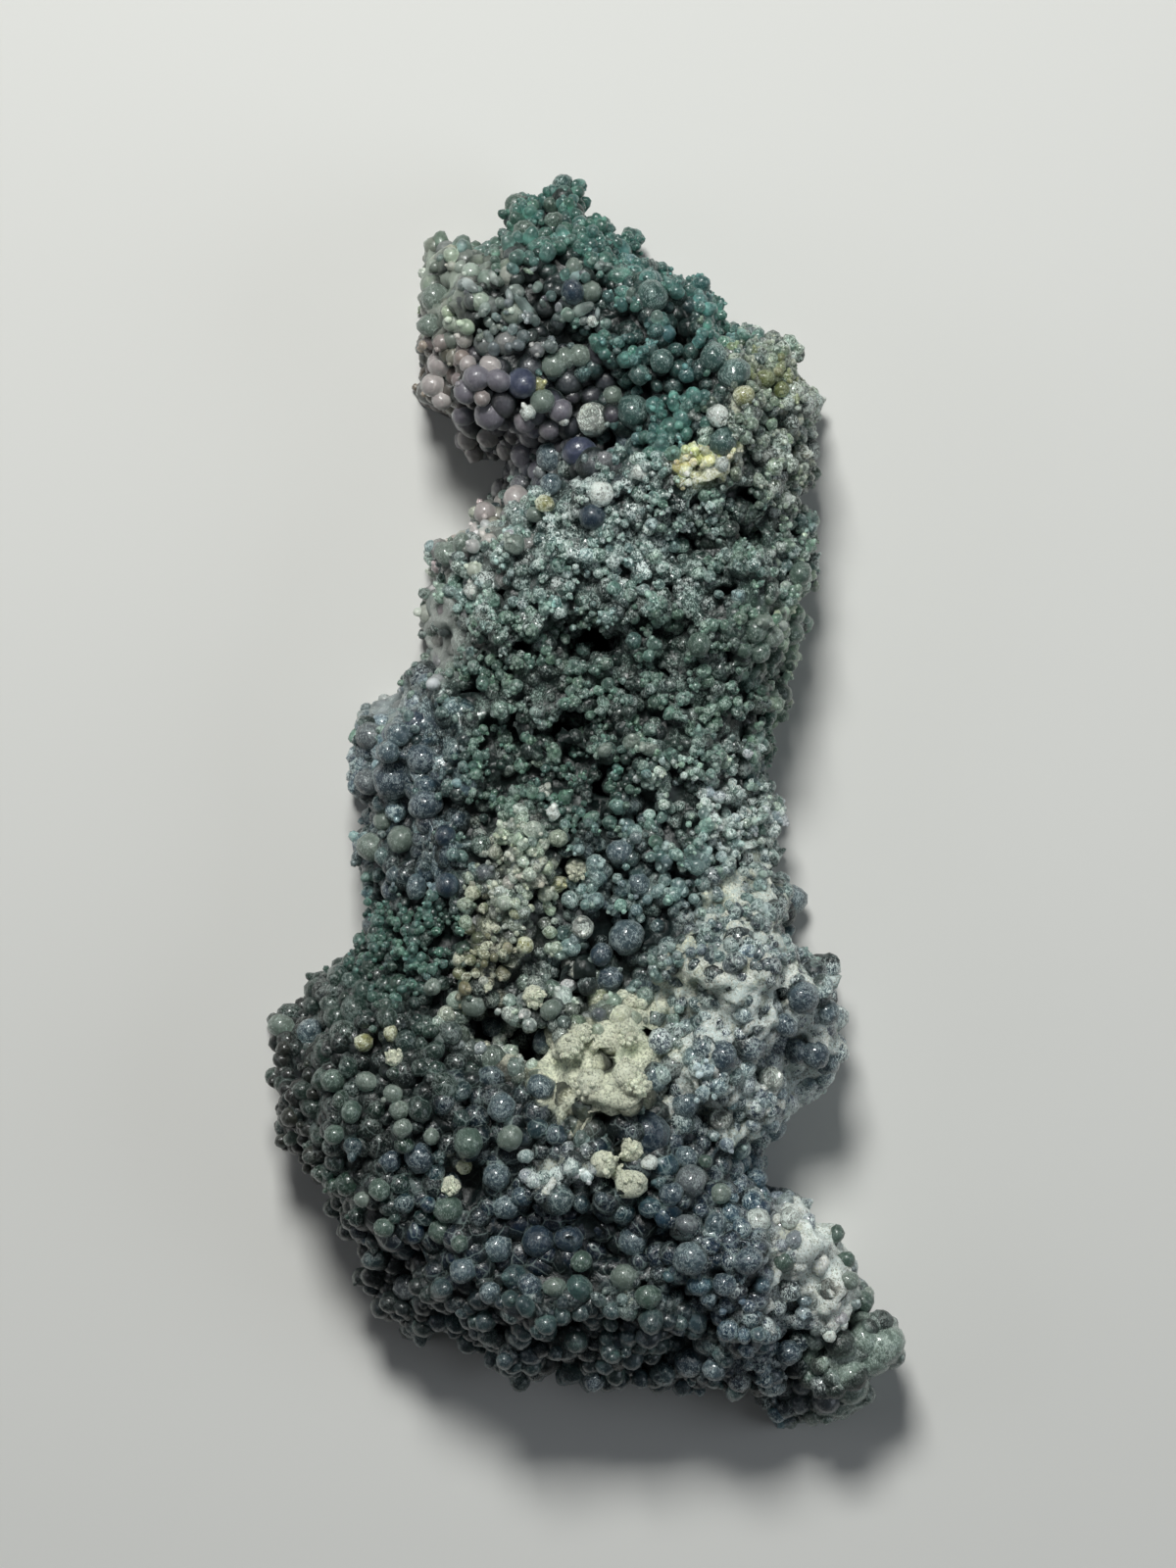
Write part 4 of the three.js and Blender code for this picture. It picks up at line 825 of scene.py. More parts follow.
@dataclass
class Mass:
    """The stone under the balls, grown from the specimen's solid."""

    voxel_mm: float = 0.72
    bare_sink_mm: float = 2.3
    full_sink_mm: float = 0.55
    pit_sink_mm: float = 6.0
    crumb_mm: float = 1.3
    crumb_rise_mm: float = 0.45
    lump_mm: float = 4.2
    lump_rise_mm: float = 1.0
    top_mm: float = 35.4

    def carrier(self, fields: "FieldMap") -> bpy.types.Mesh:
        """Makes a smooth copy of the solid with the ridges and clefts, which carries the balls.

        Args:
            fields: The lumpiness of the specimen's stretches.

        Returns:
            A closed mesh in metres.
        """
        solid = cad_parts[NODE]
        holder = bpy.data.objects.new("carrier", solid.data.copy())
        bpy.context.scene.collection.objects.link(holder)
        weld = holder.modifiers.new("weld", "WELD")
        weld.merge_threshold = 0.01 * MM
        remesh = holder.modifiers.new("remesh", "REMESH")
        remesh.mode = "VOXEL"
        remesh.voxel_size = self.voxel_mm * MM
        smooth = holder.modifiers.new("smooth", "SMOOTH")
        smooth.factor = 0.5
        smooth.iterations = 6
        graph = bpy.context.evaluated_depsgraph_get()
        mesh = bpy.data.meshes.new_from_object(holder.evaluated_get(graph))
        bpy.data.objects.remove(holder)
        place, normal = read_surface(mesh)
        upward = np.clip(normal[:, 2] * 1.6 - 0.2, 0, 1)
        lumps = fields.at(place[:, :2])["lumps"] * np.clip(place[:, 2] / 3.0, 0, 1)
        billow = np.abs(cloud(place, self.lump_mm)) * 2.6 - 0.45
        place += normal * (stroke_rise(place[:, :2]) * upward + self.lump_rise_mm * lumps * billow)[:, None]
        place[:, :2] += lobe_shift(place[:, :2])
        place[:, 2] = np.clip(place[:, 2], 0, self.top_mm)
        mesh.vertices.foreach_set("co", (place * MM).ravel())
        mesh.update()
        return mesh

    def build(self, carrier: bpy.types.Mesh, fields: "FieldMap", material: bpy.types.Material) -> bpy.types.Object:
        """Makes the stone that shows between the balls.

        Args:
            carrier: The smooth copy of the solid.
            fields: The colours and crusts of the specimen's stretches.
            material: The stone's finish.

        Returns:
            The piece.
        """
        mesh = carrier.copy()
        mesh.name = "stone_mass"
        place, normal = read_surface(mesh)
        count = len(place)
        plan = place[:, :2]
        values = fields.at(plan)
        foot = np.clip(place[:, 2] / 2.0, 0, 1)
        filled = np.clip(values["fill"] * 1.1 + cloud(place, 2.2) * 0.8, 0, 1)
        sink = self.bare_sink_mm + (self.full_sink_mm - self.bare_sink_mm) * filled
        sink += cloud(place, self.crumb_mm) * self.crumb_rise_mm * 2
        pit = pit_depth(plan)
        upward = np.clip(normal[:, 2] * 1.5, 0, 1)
        sink = np.maximum(sink - 1.2 * np.clip(values["crust"] - 0.6, 0, 1), 0.1)
        place -= normal * (sink * foot)[:, None]
        place[:, 2] -= self.pit_sink_mm * pit * upward
        place[:, 2] = np.maximum(place[:, 2], 0)
        mesh.vertices.foreach_set("co", (place * MM).ravel())
        cut = ((normal[:, 2] < -0.7) & (place[:, 2] < 0.4)).astype(float)
        # depth, from the sink and the pits, drives the material's painted shade and painted pit shadow.
        shades = {
            "cap": np.full(count, 0.5), "crease": np.full(count, 0.2), "cut": cut,
            "inset": self.inset(place, cut > 0), "depth": np.clip(sink + 3 * pit, 0, 5) * foot,
            "frost": values["frost"] * filled, "crust": np.clip(np.maximum(values["crust"], values["matrix"]) * (0.4 + filled), 0, 1),
            "web": values["web"] * filled,
        }
        for name, data in shades.items():
            write_floats(mesh, name, data)
        # Painted shade: the stone between the balls takes the darker gap colour.
        write_colours(mesh, "core", values["deep"] * 1.2)
        write_colours(mesh, "rim", values["rim"] * filled[:, None] + values["core"] * (1 - filled[:, None]))
        mesh.polygons.foreach_set("use_smooth", np.ones(len(mesh.polygons), dtype=bool))
        mesh.materials.clear()
        mesh.materials.append(material)
        mesh.update()
        piece = bpy.data.objects.new("stone_mass", mesh)
        bpy.context.scene.collection.objects.link(piece)
        return piece

    def inset(self, place: np.ndarray, is_cut: np.ndarray) -> np.ndarray:
        """Measures how far each place of the cut face lies from its edge.

        Args:
            place: Rows of X, Y and Z in millimetres.
            is_cut: Which places lie on the cut face.

        Returns:
            Distances in millimetres, 0 away from the cut face.
        """
        edge = np.nonzero(~is_cut & (place[:, 2] < 1.5))[0]
        tree = KDTree(len(edge))
        for number in edge:
            tree.insert((place[number][0], place[number][1], 0), int(number))
        tree.balance()
        inset = np.zeros(len(place))
        for number in np.nonzero(is_cut)[0]:
            inset[number] = tree.find((place[number][0], place[number][1], 0))[2]
        return inset


def read_surface(mesh: bpy.types.Mesh) -> tuple[np.ndarray, np.ndarray]:
    """Reads a mesh's vertices and their normals.

    Args:
        mesh: A mesh in metres.

    Returns:
        Places in millimetres, and normals.
    """
    count = len(mesh.vertices)
    place = np.zeros(count * 3)
    mesh.vertices.foreach_get("co", place)
    normal = np.zeros(count * 3)
    mesh.vertex_normals.foreach_get("vector", normal)
    return place.reshape(-1, 3) / MM, normal.reshape(-1, 3)


def cloud(place: np.ndarray, size: float) -> np.ndarray:
    """Reads a smooth pattern of chance.

    Args:
        place: Rows of X, Y and Z in millimetres.
        size: Size of its features in millimetres.

    Returns:
        Values from about -0.5 to 0.5.
    """
    return np.array([noise.noise(Vector(spot)) for spot in place / size]) * 0.8


def lobe_shift(plan: np.ndarray) -> np.ndarray:
    """Adds up how far the lobes and bays move each place sideways.

    Args:
        plan: Rows of X and Y in millimetres.

    Returns:
        Rows of shifts in X and Y in millimetres.
    """
    shift = np.zeros_like(plan)
    for lobe in LOBES:
        away = np.linalg.norm(plan - on_plan(lobe.px, lobe.py), axis=1) * PIXELS_PER_MM / lobe.reach
        shift += np.exp(-away ** 2)[:, None] * (np.array((lobe.right, -lobe.down)) / PIXELS_PER_MM)
    return shift


def stroke_rise(plan: np.ndarray) -> np.ndarray:
    """Adds up the ridges and clefts.

    Args:
        plan: Rows of X and Y in millimetres.

    Returns:
        How far each place is raised, in millimetres.
    """
    rise = np.zeros(len(plan))
    for stroke in STROKES:
        line = np.array([on_plan(*point) for point in stroke.points])
        nearest = np.full(len(plan), np.inf)
        for start, end in zip(line[:-1], line[1:]):
            along = np.clip(((plan - start) @ (end - start)) / ((end - start) @ (end - start)), 0, 1)
            away = np.linalg.norm(plan - start - along[:, None] * (end - start), axis=1)
            nearest = np.minimum(nearest, away)
        rise += stroke.rise * np.exp(-(nearest / (stroke.width / PIXELS_PER_MM)) ** 2)
    return rise


def write_floats(mesh: bpy.types.Mesh, name: str, data: np.ndarray) -> None:
    """Stores one number for each vertex.

    Args:
        mesh: The mesh.
        name: Name of the attribute.
        data: The numbers.
    """
    layer = mesh.attributes.get(name) or mesh.attributes.new(name, "FLOAT", "POINT")
    layer.data.foreach_set("value", np.ascontiguousarray(data, dtype=np.float32))


def write_colours(mesh: bpy.types.Mesh, name: str, data: np.ndarray) -> None:
    """Stores one linear colour for each vertex.

    Args:
        mesh: The mesh.
        name: Name of the attribute.
        data: Rows of red, green and blue.
    """
    layer = mesh.attributes.get(name) or mesh.attributes.new(name, "FLOAT_COLOR", "POINT")
    full = np.ones((len(data), 4), dtype=np.float32)
    full[:, :3] = data
    layer.data.foreach_set("color", full.ravel())


def pit_depth(plan: np.ndarray) -> np.ndarray:
    """Tells how deep in a pit each place lies.

    Args:
        plan: Rows of X and Y in millimetres.

    Returns:
        0 outside the pits, up to 1 in their middles.
    """
    deepest = np.zeros(len(plan))
    for px, py, rx, ry in PITS:
        x, y = on_plan(px, py)
        left = 1 - ((plan[:, 0] - x) / (rx / PIXELS_PER_MM)) ** 2 - ((plan[:, 1] - y) / (ry / PIXELS_PER_MM)) ** 2
        deepest = np.maximum(deepest, np.clip(left * 2.0, 0, 1))
    return deepest


class FieldMap:
    """Blends the specimen's stretches into one another."""

    def __init__(self, fields: tuple[Field, ...]) -> None:
        """Prepares the stretches as arrays.

        Args:
            fields: The stretches.
        """
        self.fields = fields
        self.centre = np.array([on_plan(*item.centre) for item in fields])
        self.reach = np.array([item.reach for item in fields]) / PIXELS_PER_MM
        self.deep = np.array([linear(item.deep)[:3] for item in fields])
        self.core = np.array([linear(item.core)[:3] for item in fields])
        self.rim = np.array([linear(item.rim)[:3] for item in fields])
        self.numbers = {name: np.array([getattr(item, name) for item in fields])
                        for name in ("frost", "crust", "web", "nubs", "tall", "proud", "proud_size", "fill",
                                     "grain", "lumps", "matrix")}
        self.radii = np.array([item.radii for item in fields])
        self.strength = np.array([item.strength for item in fields])

    def weights(self, plan: np.ndarray) -> np.ndarray:
        """Weighs the stretches at some places.

        Args:
            plan: Rows of X and Y in millimetres.

        Returns:
            A row of weights for each place, which add up to 1.
        """
        away = (plan[:, None, :] - self.centre[None]) / self.reach[None]
        weight = self.strength * np.exp(-1.6 * (away ** 2).sum(2)) + 1e-12
        return weight / weight.sum(1, keepdims=True)

    def at(self, plan: np.ndarray) -> dict[str, np.ndarray]:
        """Blends the stretches' values at some places.

        Args:
            plan: Rows of X and Y in millimetres.

        Returns:
            The blended values by name.
        """
        weight = self.weights(plan)
        values = {name: weight @ numbers for name, numbers in self.numbers.items()}
        values["deep"] = weight @ self.deep
        values["core"] = weight @ self.core
        values["rim"] = weight @ self.rim
        return values

    def pick(self, plan: np.ndarray, rng: np.random.Generator) -> np.ndarray:
        """Picks one stretch for each place, by weight.

        Args:
            plan: Rows of X and Y in millimetres.
            rng: Source of chance.

        Returns:
            The numbers of the stretches.
        """
        total = self.weights(plan).cumsum(1)
        return (total < rng.random(len(plan))[:, None]).sum(1).clip(0, len(self.fields) - 1)


@dataclass(frozen=True)
class Crop:
    """One sowing of balls over the whole specimen."""

    is_deep: bool
    size: float
    tries: int
    apart: float
    is_grain: bool = False


CROPS = (
    Crop(True, 1.0, 12000, 0.55),
    Crop(False, 1.0, 12000, 0.64),
    Crop(False, 0.75, 16000, 0.61, True),
    Crop(True, 0.66, 7000, 0.57),
    Crop(False, 0.55, 11000, 0.66, True),
)


@dataclass
class Growth:
    """The growing of the balls over the carrier."""

    carrier: bpy.types.Mesh
    fields: FieldMap
    balls: Balls = field(default_factory=Balls)
    cell_mm: float = 2.6
    clump_mm: float = 3.0
    deep_top_mm: float = -0.35
    deep_spread_mm: float = 0.9
    between_tiers: float = 0.32
    hero_room: float = 0.86
    hero_room_deep: float = 0.5
    tip_mm: float = 36.9

    def __post_init__(self) -> None:
        """Reads the carrier's triangles."""
        mesh = self.carrier
        mesh.calc_loop_triangles()
        self.place, self.normal = read_surface(mesh)
        corners = np.zeros(len(mesh.loop_triangles) * 3, dtype=np.int32)
        mesh.loop_triangles.foreach_get("vertices", corners)
        self.corners = corners.reshape(-1, 3)
        a, b, c = (self.place[self.corners[:, k]] for k in range(3))
        self.area = np.linalg.norm(np.cross(b - a, c - a), axis=1) / 2
        self.tree = BVHTree.FromPolygons([tuple(p) for p in self.place], [tuple(t) for t in self.corners])
        self.grid: dict[tuple[int, int, int], list[int]] = defaultdict(list)
        self.rng = np.random.default_rng(SEED)
        self.heroes = 0

    def scatter(self, count: int) -> tuple[np.ndarray, np.ndarray]:
        """Throws points evenly on the carrier, but for its cut face.

        Args:
            count: Number of points.

        Returns:
            Their places and normals.
        """
        shares = (self.area * (self.place[self.corners[:, 0], 2] > 0.05)).cumsum()
        chosen = np.searchsorted(shares, self.rng.random(count) * shares[-1])
        u = np.sqrt(self.rng.random(count))
        v = self.rng.random(count)
        weights = np.stack([1 - u, u * (1 - v), u * v], 1)[:, :, None]
        corners = self.corners[chosen]
        place = (self.place[corners] * weights).sum(1)
        normal = (self.normal[corners] * weights).sum(1)
        return place, normal / np.linalg.norm(normal, axis=1, keepdims=True)

    def is_clear(self, centre: Vector, radius: float, is_deep: bool, apart: float) -> bool:
        """Tells whether a new ball has room among those already there.

        Args:
            centre: Middle of the new ball.
            radius: Its radius.
            is_deep: Whether it belongs to the deep balls.
            apart: Share of the two radii that middles of the same tier keep apart.

        Returns:
            True where it has room.
        """
        cx, cy, cz = (int(math.floor(c / self.cell_mm)) for c in centre)
        steps = (-1, 0, 1) if radius < 1.3 else (-2, -1, 0, 1, 2)
        for i in steps:
            for j in steps:
                for k in steps:
                    for other in self.grid.get((cx + i, cy + j, cz + k), ()):
                        share = apart if self.balls.is_deep[other] == is_deep else self.between_tiers
                        if other < self.heroes and radius > 0.55:
                            share = self.hero_room_deep if is_deep else self.hero_room
                        least = share * (radius + self.balls.radius[other])
                        if (self.balls.centre[other] - centre).length_squared < least * least:
                            return False
        return True

    def keep(self, centre: Vector, **values: object) -> None:
        """Adds a ball and files it under its place.

        Args:
            centre: Middle of the ball.
            values: The rest of what Balls.add takes.
        """
        centre.z = min(centre.z, self.tip_mm - values["radius"])
        self.grid[tuple(int(math.floor(c / self.cell_mm)) for c in centre)].append(len(self.balls))
        self.balls.add(centre=centre, **values)

    def place_heroes(self, eye: Vector) -> None:
        """Puts the balls that are seen singly where the photograph shows them.

        Args:
            eye: Place of the camera in millimetres.
        """
        for hero in HEROES:
            x, y = on_plan(hero.px, hero.py)
            target = Vector((x, y, VIEW_LEVEL))
            hit, normal, _, _ = self.tree.ray_cast(eye, (target - eye).normalized())
            radius = hero.radius / PIXELS_PER_MM
            if hit is None:
                hit, normal, _, _ = self.tree.find_nearest(target)
            outward = (Vector(normal) + UPWARD).normalized()
            centre = hit - outward * radius * 0.5
            centre.z = max(centre.z, radius * 0.9)
            look = hero.look
            self.keep(centre, anchor=hit, outward=outward, radius=radius, core=linear(look.core)[:3],
                      rim=linear(look.rim)[:3], frost=look.frost, crust=look.crust,
                      web=0.25 * float(self.fields.at(np.array([[x, y]]))["web"][0]),
                      hollow=look.hollow, tall=hero.tall, is_deep=False)
        self.heroes = len(self.balls)

    def sow(self, crop: Crop) -> None:
        """Sows one crop of balls.

        Args:
            crop: Their tier, size and number.
        """
        place, normal = self.scatter(crop.tries)
        plan = place[:, :2]
        chosen = self.fields.pick(plan, self.rng)
        blended = self.fields.at(plan)
        numbers = self.fields.numbers
        low, high = self.fields.radii[chosen].T
        chance = self.rng.random((crop.tries, 4))
        radius = (low + (high - low) * chance[:, 0] ** 1.2) * crop.size * (1.05 + 0.13 * blended["web"])
        shade = self.rng.normal(1.0, 0.13, (crop.tries, 1)) * self.rng.normal(1.0, 0.045, (crop.tries, 3))
        core = (0.65 * self.fields.core[chosen] + 0.35 * blended["core"]) * shade
        rim = (0.65 * self.fields.rim[chosen] + 0.35 * blended["rim"]) * shade
        deep = (0.65 * self.fields.deep[chosen] + 0.35 * blended["deep"]) * shade
        clump = cloud(place, self.clump_mm)
        is_open = np.ones(crop.tries, dtype=bool)
        # Painted shade: the deep balls take the darker gap colour on top and on their sides.
        if crop.is_deep:
            top = self.deep_top_mm - self.deep_spread_mm * chance[:, 1] + 0.6 * clump + 0.4 * blended["fill"]
            rim = deep * 0.6 + rim * 0.4
            core = deep
            stretch = np.ones(crop.tries)
        else:
            radius = radius * numbers["proud_size"][chosen]
            bar = 0.32 - 0.62 * numbers["proud"][chosen]
            is_open = clump > bar
            top = np.minimum(-0.15 + 1.6 * (clump - bar) + 0.35 * chance[:, 1], 2 * radius - 0.75)
            top -= 0.15 * np.clip(1 - normal[:, 2] / 0.4, 0, 1)
            stretch = 1 + (numbers["tall"][chosen] - 1) * chance[:, 2] * 1.6
            # Painted shade: the lower a proud ball's top sits, the more its top takes the darker gap colour.
            lift = np.clip(0.55 + top * 0.5, 0, 1)[:, None]
            core = deep * (1 - lift) + core * lift
        lean = self.rng.normal(0, 0.0 if crop.is_deep else 0.22, (crop.tries, 3))
        if crop.is_grain:
            is_open &= self.rng.random(crop.tries) < blended["grain"]
        is_open &= self.rng.random(crop.tries) > np.clip((blended["crust"] - 0.7) * 3.4, 0, 0.88)
        lean *= 1 + 2.4 * (stretch - 1)[:, None]
        pit = pit_depth(plan)
        for i in np.nonzero(is_open & ~((pit > 0.1) & (normal[:, 2] > 0.3)) & (normal[:, 2] > -0.6))[0]:
            r = float(radius[i])
            outward = Vector(normal[i])
            centre = Vector(place[i]) - outward * (r - float(top[i]))
            if centre.z < r * 0.75 or not self.is_clear(centre, r, crop.is_deep, crop.apart):
                continue
            self.keep(centre, anchor=Vector(place[i]), outward=(outward + UPWARD + Vector(lean[i])).normalized(),
                      radius=r, core=tuple(np.clip(core[i], 0, 1)), rim=tuple(np.clip(rim[i], 0, 1)),
                      frost=float(0.5 * numbers["frost"][chosen[i]] + 0.5 * blended["frost"][i]) * (0.6 + 0.6 * float(chance[i, 3])),
                      crust=float(numbers["crust"][chosen[i]]) * float(chance[i, 3] ** 0.3),
                      web=float(blended["web"][i]), hollow=0.0, tall=float(stretch[i]), is_deep=crop.is_deep)

    def bud(self) -> None:
        """Grows small nubs on the proud balls."""
        parents = [i for i in range(len(self.balls)) if not self.balls.is_deep[i]]
        plan = np.array([tuple(self.balls.anchor[i])[:2] for i in parents])
        nubs = self.fields.at(plan)["nubs"]
        for parent, wanted in zip(parents, nubs):
            radius = self.balls.radius[parent]
            centre = self.balls.centre[parent]
            is_crumbly = parent < self.heroes and self.balls.crust[parent] > 0.9
            wanted = 22 if is_crumbly else wanted * (0.5 if radius > 1.4 else 1.0)
            for _ in range(int(self.rng.poisson(wanted))):
                small = radius * (self.rng.uniform(0.18, 0.34) if is_crumbly else self.rng.uniform(0.28, 0.5))
                turn = Vector(self.rng.normal(0, 1, 3)).normalized()
                outward = (self.balls.outward[parent] * 1.1 + turn).normalized()
                middle = centre + outward * radius * 0.96
                if small < 0.22 or middle.z < small or not self.is_clear(middle, small, False, 0.5):
                    continue
                if pit_depth(np.array([tuple(middle)[:2]]))[0] > 0.25:
                    continue
                lighter = self.rng.uniform(0.9, 1.25)
                colour = tuple(min(1.0, c * lighter) for c in self.balls.rim[parent])
                self.keep(middle, anchor=self.balls.anchor[parent], outward=outward, radius=small, core=colour,
                          rim=colour, frost=self.balls.frost[parent], crust=self.balls.crust[parent], web=0.2,
                          hollow=0.0, tall=float(self.rng.uniform(1.0, 1.6)), is_deep=False)


@dataclass(frozen=True)
class SizeClass:
    """Balls of one range of radii, made as one or more pieces."""

    name: str
    low: float
    high: float
    facets: int
    most: int
    unevenness: float


SIZES = (
    SizeClass("great_balls", 2.1, 9.0, 3, 600, 0.22),
    SizeClass("large_balls", 1.3, 2.1, 2, 2400, 0.30),
    SizeClass("small_balls", 0.6, 1.3, 2, 2400, 0.5),
    SizeClass("nubs", 0.0, 0.6, 1, 9000, 0.35),
)


@dataclass
class BallHeap:
    """Turns the grown balls into meshes with Geometry Nodes."""

    balls: Balls
    material: bpy.types.Material
    web_reach_mm: float = 0.34

    def tree(self) -> bpy.types.NodeTree:
        """Builds the node tree that puts a ball on every point.

        Returns:
            The geometry node tree, with named inputs.
        """
        tree = bpy.data.node_groups.new("ball_heap", "GeometryNodeTree")
        face = tree.interface
        face.new_socket("Points", in_out="INPUT", socket_type="NodeSocketGeometry")
        for name, kind, value in (("Facets", "NodeSocketInt", 3), ("Unevenness", "NodeSocketFloat", 0.1),
                                  ("Floor Level", "NodeSocketFloat", 0.0), ("Seed", "NodeSocketInt", SEED)):
            face.new_socket(name, in_out="INPUT", socket_type=kind).default_value = value
        face.new_socket("Material", in_out="INPUT", socket_type="NodeSocketMaterial")
        face.new_socket("Balls", in_out="OUTPUT", socket_type="NodeSocketGeometry")
        maker = TreeMaker(tree)
        entry = tree.nodes.new("NodeGroupInput")
        given = {socket.name: Socket(maker, socket) for socket in entry.outputs if socket.name}

        def named(name: str, kind: str) -> Socket:
            """Returns an attribute of the points."""
            return maker.node("GeometryNodeInputNamedAttribute", {"data_type": kind}, {"Name": name})

        radius = named("radius", "FLOAT")
        tall = named("tall", "FLOAT")
        outward = named("outward", "FLOAT_VECTOR")
        hollow = named("hollow", "FLOAT")
        frost = named("frost", "FLOAT")
        ball = maker.node("GeometryNodeMeshIcoSphere", {}, {"Radius": 1.0, "Subdivisions": given["Facets"]})
        local = maker.node("GeometryNodeInputPosition")
        height = maker.node("ShaderNodeSeparateXYZ", {}, {0: local}, 2)
        ball = maker.node("GeometryNodeStoreNamedAttribute", {"data_type": "FLOAT", "domain": "POINT"},
                          {"Geometry": ball, "Name": "cap", "Value": height})
        facing = maker.node("FunctionNodeAlignRotationToVector", {"axis": "Z"}, {"Vector": outward})
        spin = maker.node("FunctionNodeRandomValue", {"data_type": "FLOAT"},
                          {2: 0.0, 3: 6.28, "Seed": given["Seed"]}, 1)
        spun = maker.node("FunctionNodeAxisAngleToRotation", {}, {"Axis": (0.0, 0.0, 1.0), "Angle": spin})
        facing = maker.node("FunctionNodeRotateRotation", {"rotation_space": "LOCAL"},
                            {"Rotation": facing, "Rotate By": spun})
        narrow = maker.node("FunctionNodeRandomValue", {"data_type": "FLOAT"},
                            {2: 0.82, 3: 1.12, "Seed": given["Seed"] + 1}, 1)
        size = maker.node("ShaderNodeCombineXYZ", {}, {0: radius, 1: radius * narrow, 2: radius * tall})
        heap = maker.node("GeometryNodeInstanceOnPoints", {}, {
            "Points": given["Points"], "Instance": ball, "Rotation": facing, "Scale": size})
        heap = maker.node("GeometryNodeRealizeInstances", {}, {"Geometry": heap})
        cap = named("cap", "FLOAT")
        sunk = maker.ramp(cap, 0.66, 0.86) * hollow * radius * -0.55
        raised = maker.ramp(cap, 0.3, 0.62) * hollow * radius * 0.12
        push = maker.node("ShaderNodeVectorMath", {"operation": "SCALE"}, {0: outward, "Scale": sunk + raised})
        heap = maker.node("GeometryNodeSetPosition", {}, {"Geometry": heap, "Offset": push})
        spot = maker.node("GeometryNodeInputPosition")
        wobble = maker.noise(spot, 1.4, 2.0, 0.65) - 0.5
        normal = maker.node("GeometryNodeInputNormal")
        push = maker.node("ShaderNodeVectorMath", {"operation": "SCALE"},
                          {0: normal, "Scale": wobble * given["Unevenness"] * radius * (frost * 1.8 + 1.2)})
        heap = maker.node("GeometryNodeSetPosition", {}, {"Geometry": heap, "Offset": push})
        spot = maker.node("GeometryNodeInputPosition")
        split = maker.tree.nodes.new("ShaderNodeSeparateXYZ")
        tree.links.new(spot.socket, split.inputs[0])
        level = maker.node("ShaderNodeMath", {"operation": "MAXIMUM"},
                           {0: Socket(maker, split.outputs[2]), 1: given["Floor Level"]})
        flat = maker.node("ShaderNodeCombineXYZ", {}, {
            0: Socket(maker, split.outputs[0]), 1: Socket(maker, split.outputs[1]), 2: level})
        heap = maker.node("GeometryNodeSetPosition", {}, {"Geometry": heap, "Position": flat})
        heap = maker.node("GeometryNodeSetShadeSmooth", {}, {"Geometry": heap})
        heap = maker.node("GeometryNodeSetMaterial", {}, {"Geometry": heap, "Material": given["Material"]})
        maker.node("NodeGroupOutput", {}, {"Balls": heap})
        return tree

    def neighbours(self) -> list[np.ndarray]:
        """Finds the balls that touch each ball.

        Returns:
            For each ball, the numbers of its neighbours.
        """
        cell = 3.0
        grid: dict[tuple[int, int, int], list[int]] = defaultdict(list)
        for i, centre in enumerate(self.balls.centre):
            grid[tuple(int(math.floor(c / cell)) for c in centre)].append(i)
        centres = np.array([tuple(c) for c in self.balls.centre])
        radii = np.array(self.balls.radius)
        found = []
        for i, centre in enumerate(self.balls.centre):
            cx, cy, cz = (int(math.floor(c / cell)) for c in centre)
            near = [k for dx in (-1, 0, 1) for dy in (-1, 0, 1) for dz in (-1, 0, 1)
                    for k in grid.get((cx + dx, cy + dy, cz + dz), ())]
            near = np.array(near)
            gap = np.linalg.norm(centres[near] - centres[i], axis=1) - radii[near] - radii[i]
            found.append(near[(gap < self.web_reach_mm) & (near != i)])
        return found

    def build(self) -> list[bpy.types.Object]:
        """Makes all pieces.

        Returns:
            The pieces, from the largest balls to the smallest.
        """
        tree = self.tree()
        radii = np.array(self.balls.radius)
        hollow = np.array(self.balls.hollow) > 0
        near = self.neighbours()
        pieces = []
        for size in SIZES:
            is_fine = hollow & (size.low > 1.9)
            chosen = np.nonzero(((radii >= size.low) & (radii < size.high) & ~hollow) | is_fine)[0]
            order = chosen[np.argsort([-self.balls.centre[i].y for i in chosen], kind="stable")]
            parts = max(1, math.ceil(len(order) / size.most))
            for number, part in enumerate(np.array_split(order, parts)):
                if len(part):
                    pieces.append(self.piece(f"{size.name}_{number + 1}", part, size, tree, near))
        return pieces

    def piece(self, name: str, chosen: np.ndarray, size: SizeClass, tree: bpy.types.NodeTree,
              near: list[np.ndarray]) -> bpy.types.Object:
        """Makes one piece.

        Args:
            name: Name of the piece.
            chosen: Numbers of its balls.
            size: Their size class.
            tree: The geometry node tree.
            near: The neighbours of every ball.

        Returns:
            The piece, as a plain mesh.
        """
        balls = self.balls
        cloud = bpy.data.meshes.new(name)
        cloud.from_pydata([tuple(balls.centre[i] * MM) for i in chosen], [], [])
        for key in ("radius", "tall", "hollow", "frost", "crust", "web"):
            scale = MM if key == "radius" else 1.0
            write_floats(cloud, key, np.array([getattr(balls, key)[i] * scale for i in chosen]))
        outward = cloud.attributes.new("outward", "FLOAT_VECTOR", "POINT")
        outward.data.foreach_set("vector", np.array([tuple(balls.outward[i]) for i in chosen]).ravel())
        for key in ("core", "rim"):
            write_colours(cloud, key, np.array([getattr(balls, key)[i] for i in chosen]))
        holder = bpy.data.objects.new(name + "_points", cloud)
        bpy.context.scene.collection.objects.link(holder)
        modifier = holder.modifiers.new("heap", "NODES")
        modifier.node_group = tree
        sockets = {item.name: item.identifier for item in tree.interface.items_tree if item.in_out == "INPUT"}
        modifier[sockets["Facets"]] = size.facets
        modifier[sockets["Unevenness"]] = size.unevenness
        modifier[sockets["Floor Level"]] = 0.03 * MM
        modifier[sockets["Seed"]] = SEED
        modifier[sockets["Material"]] = self.material
        graph = bpy.context.evaluated_depsgraph_get()
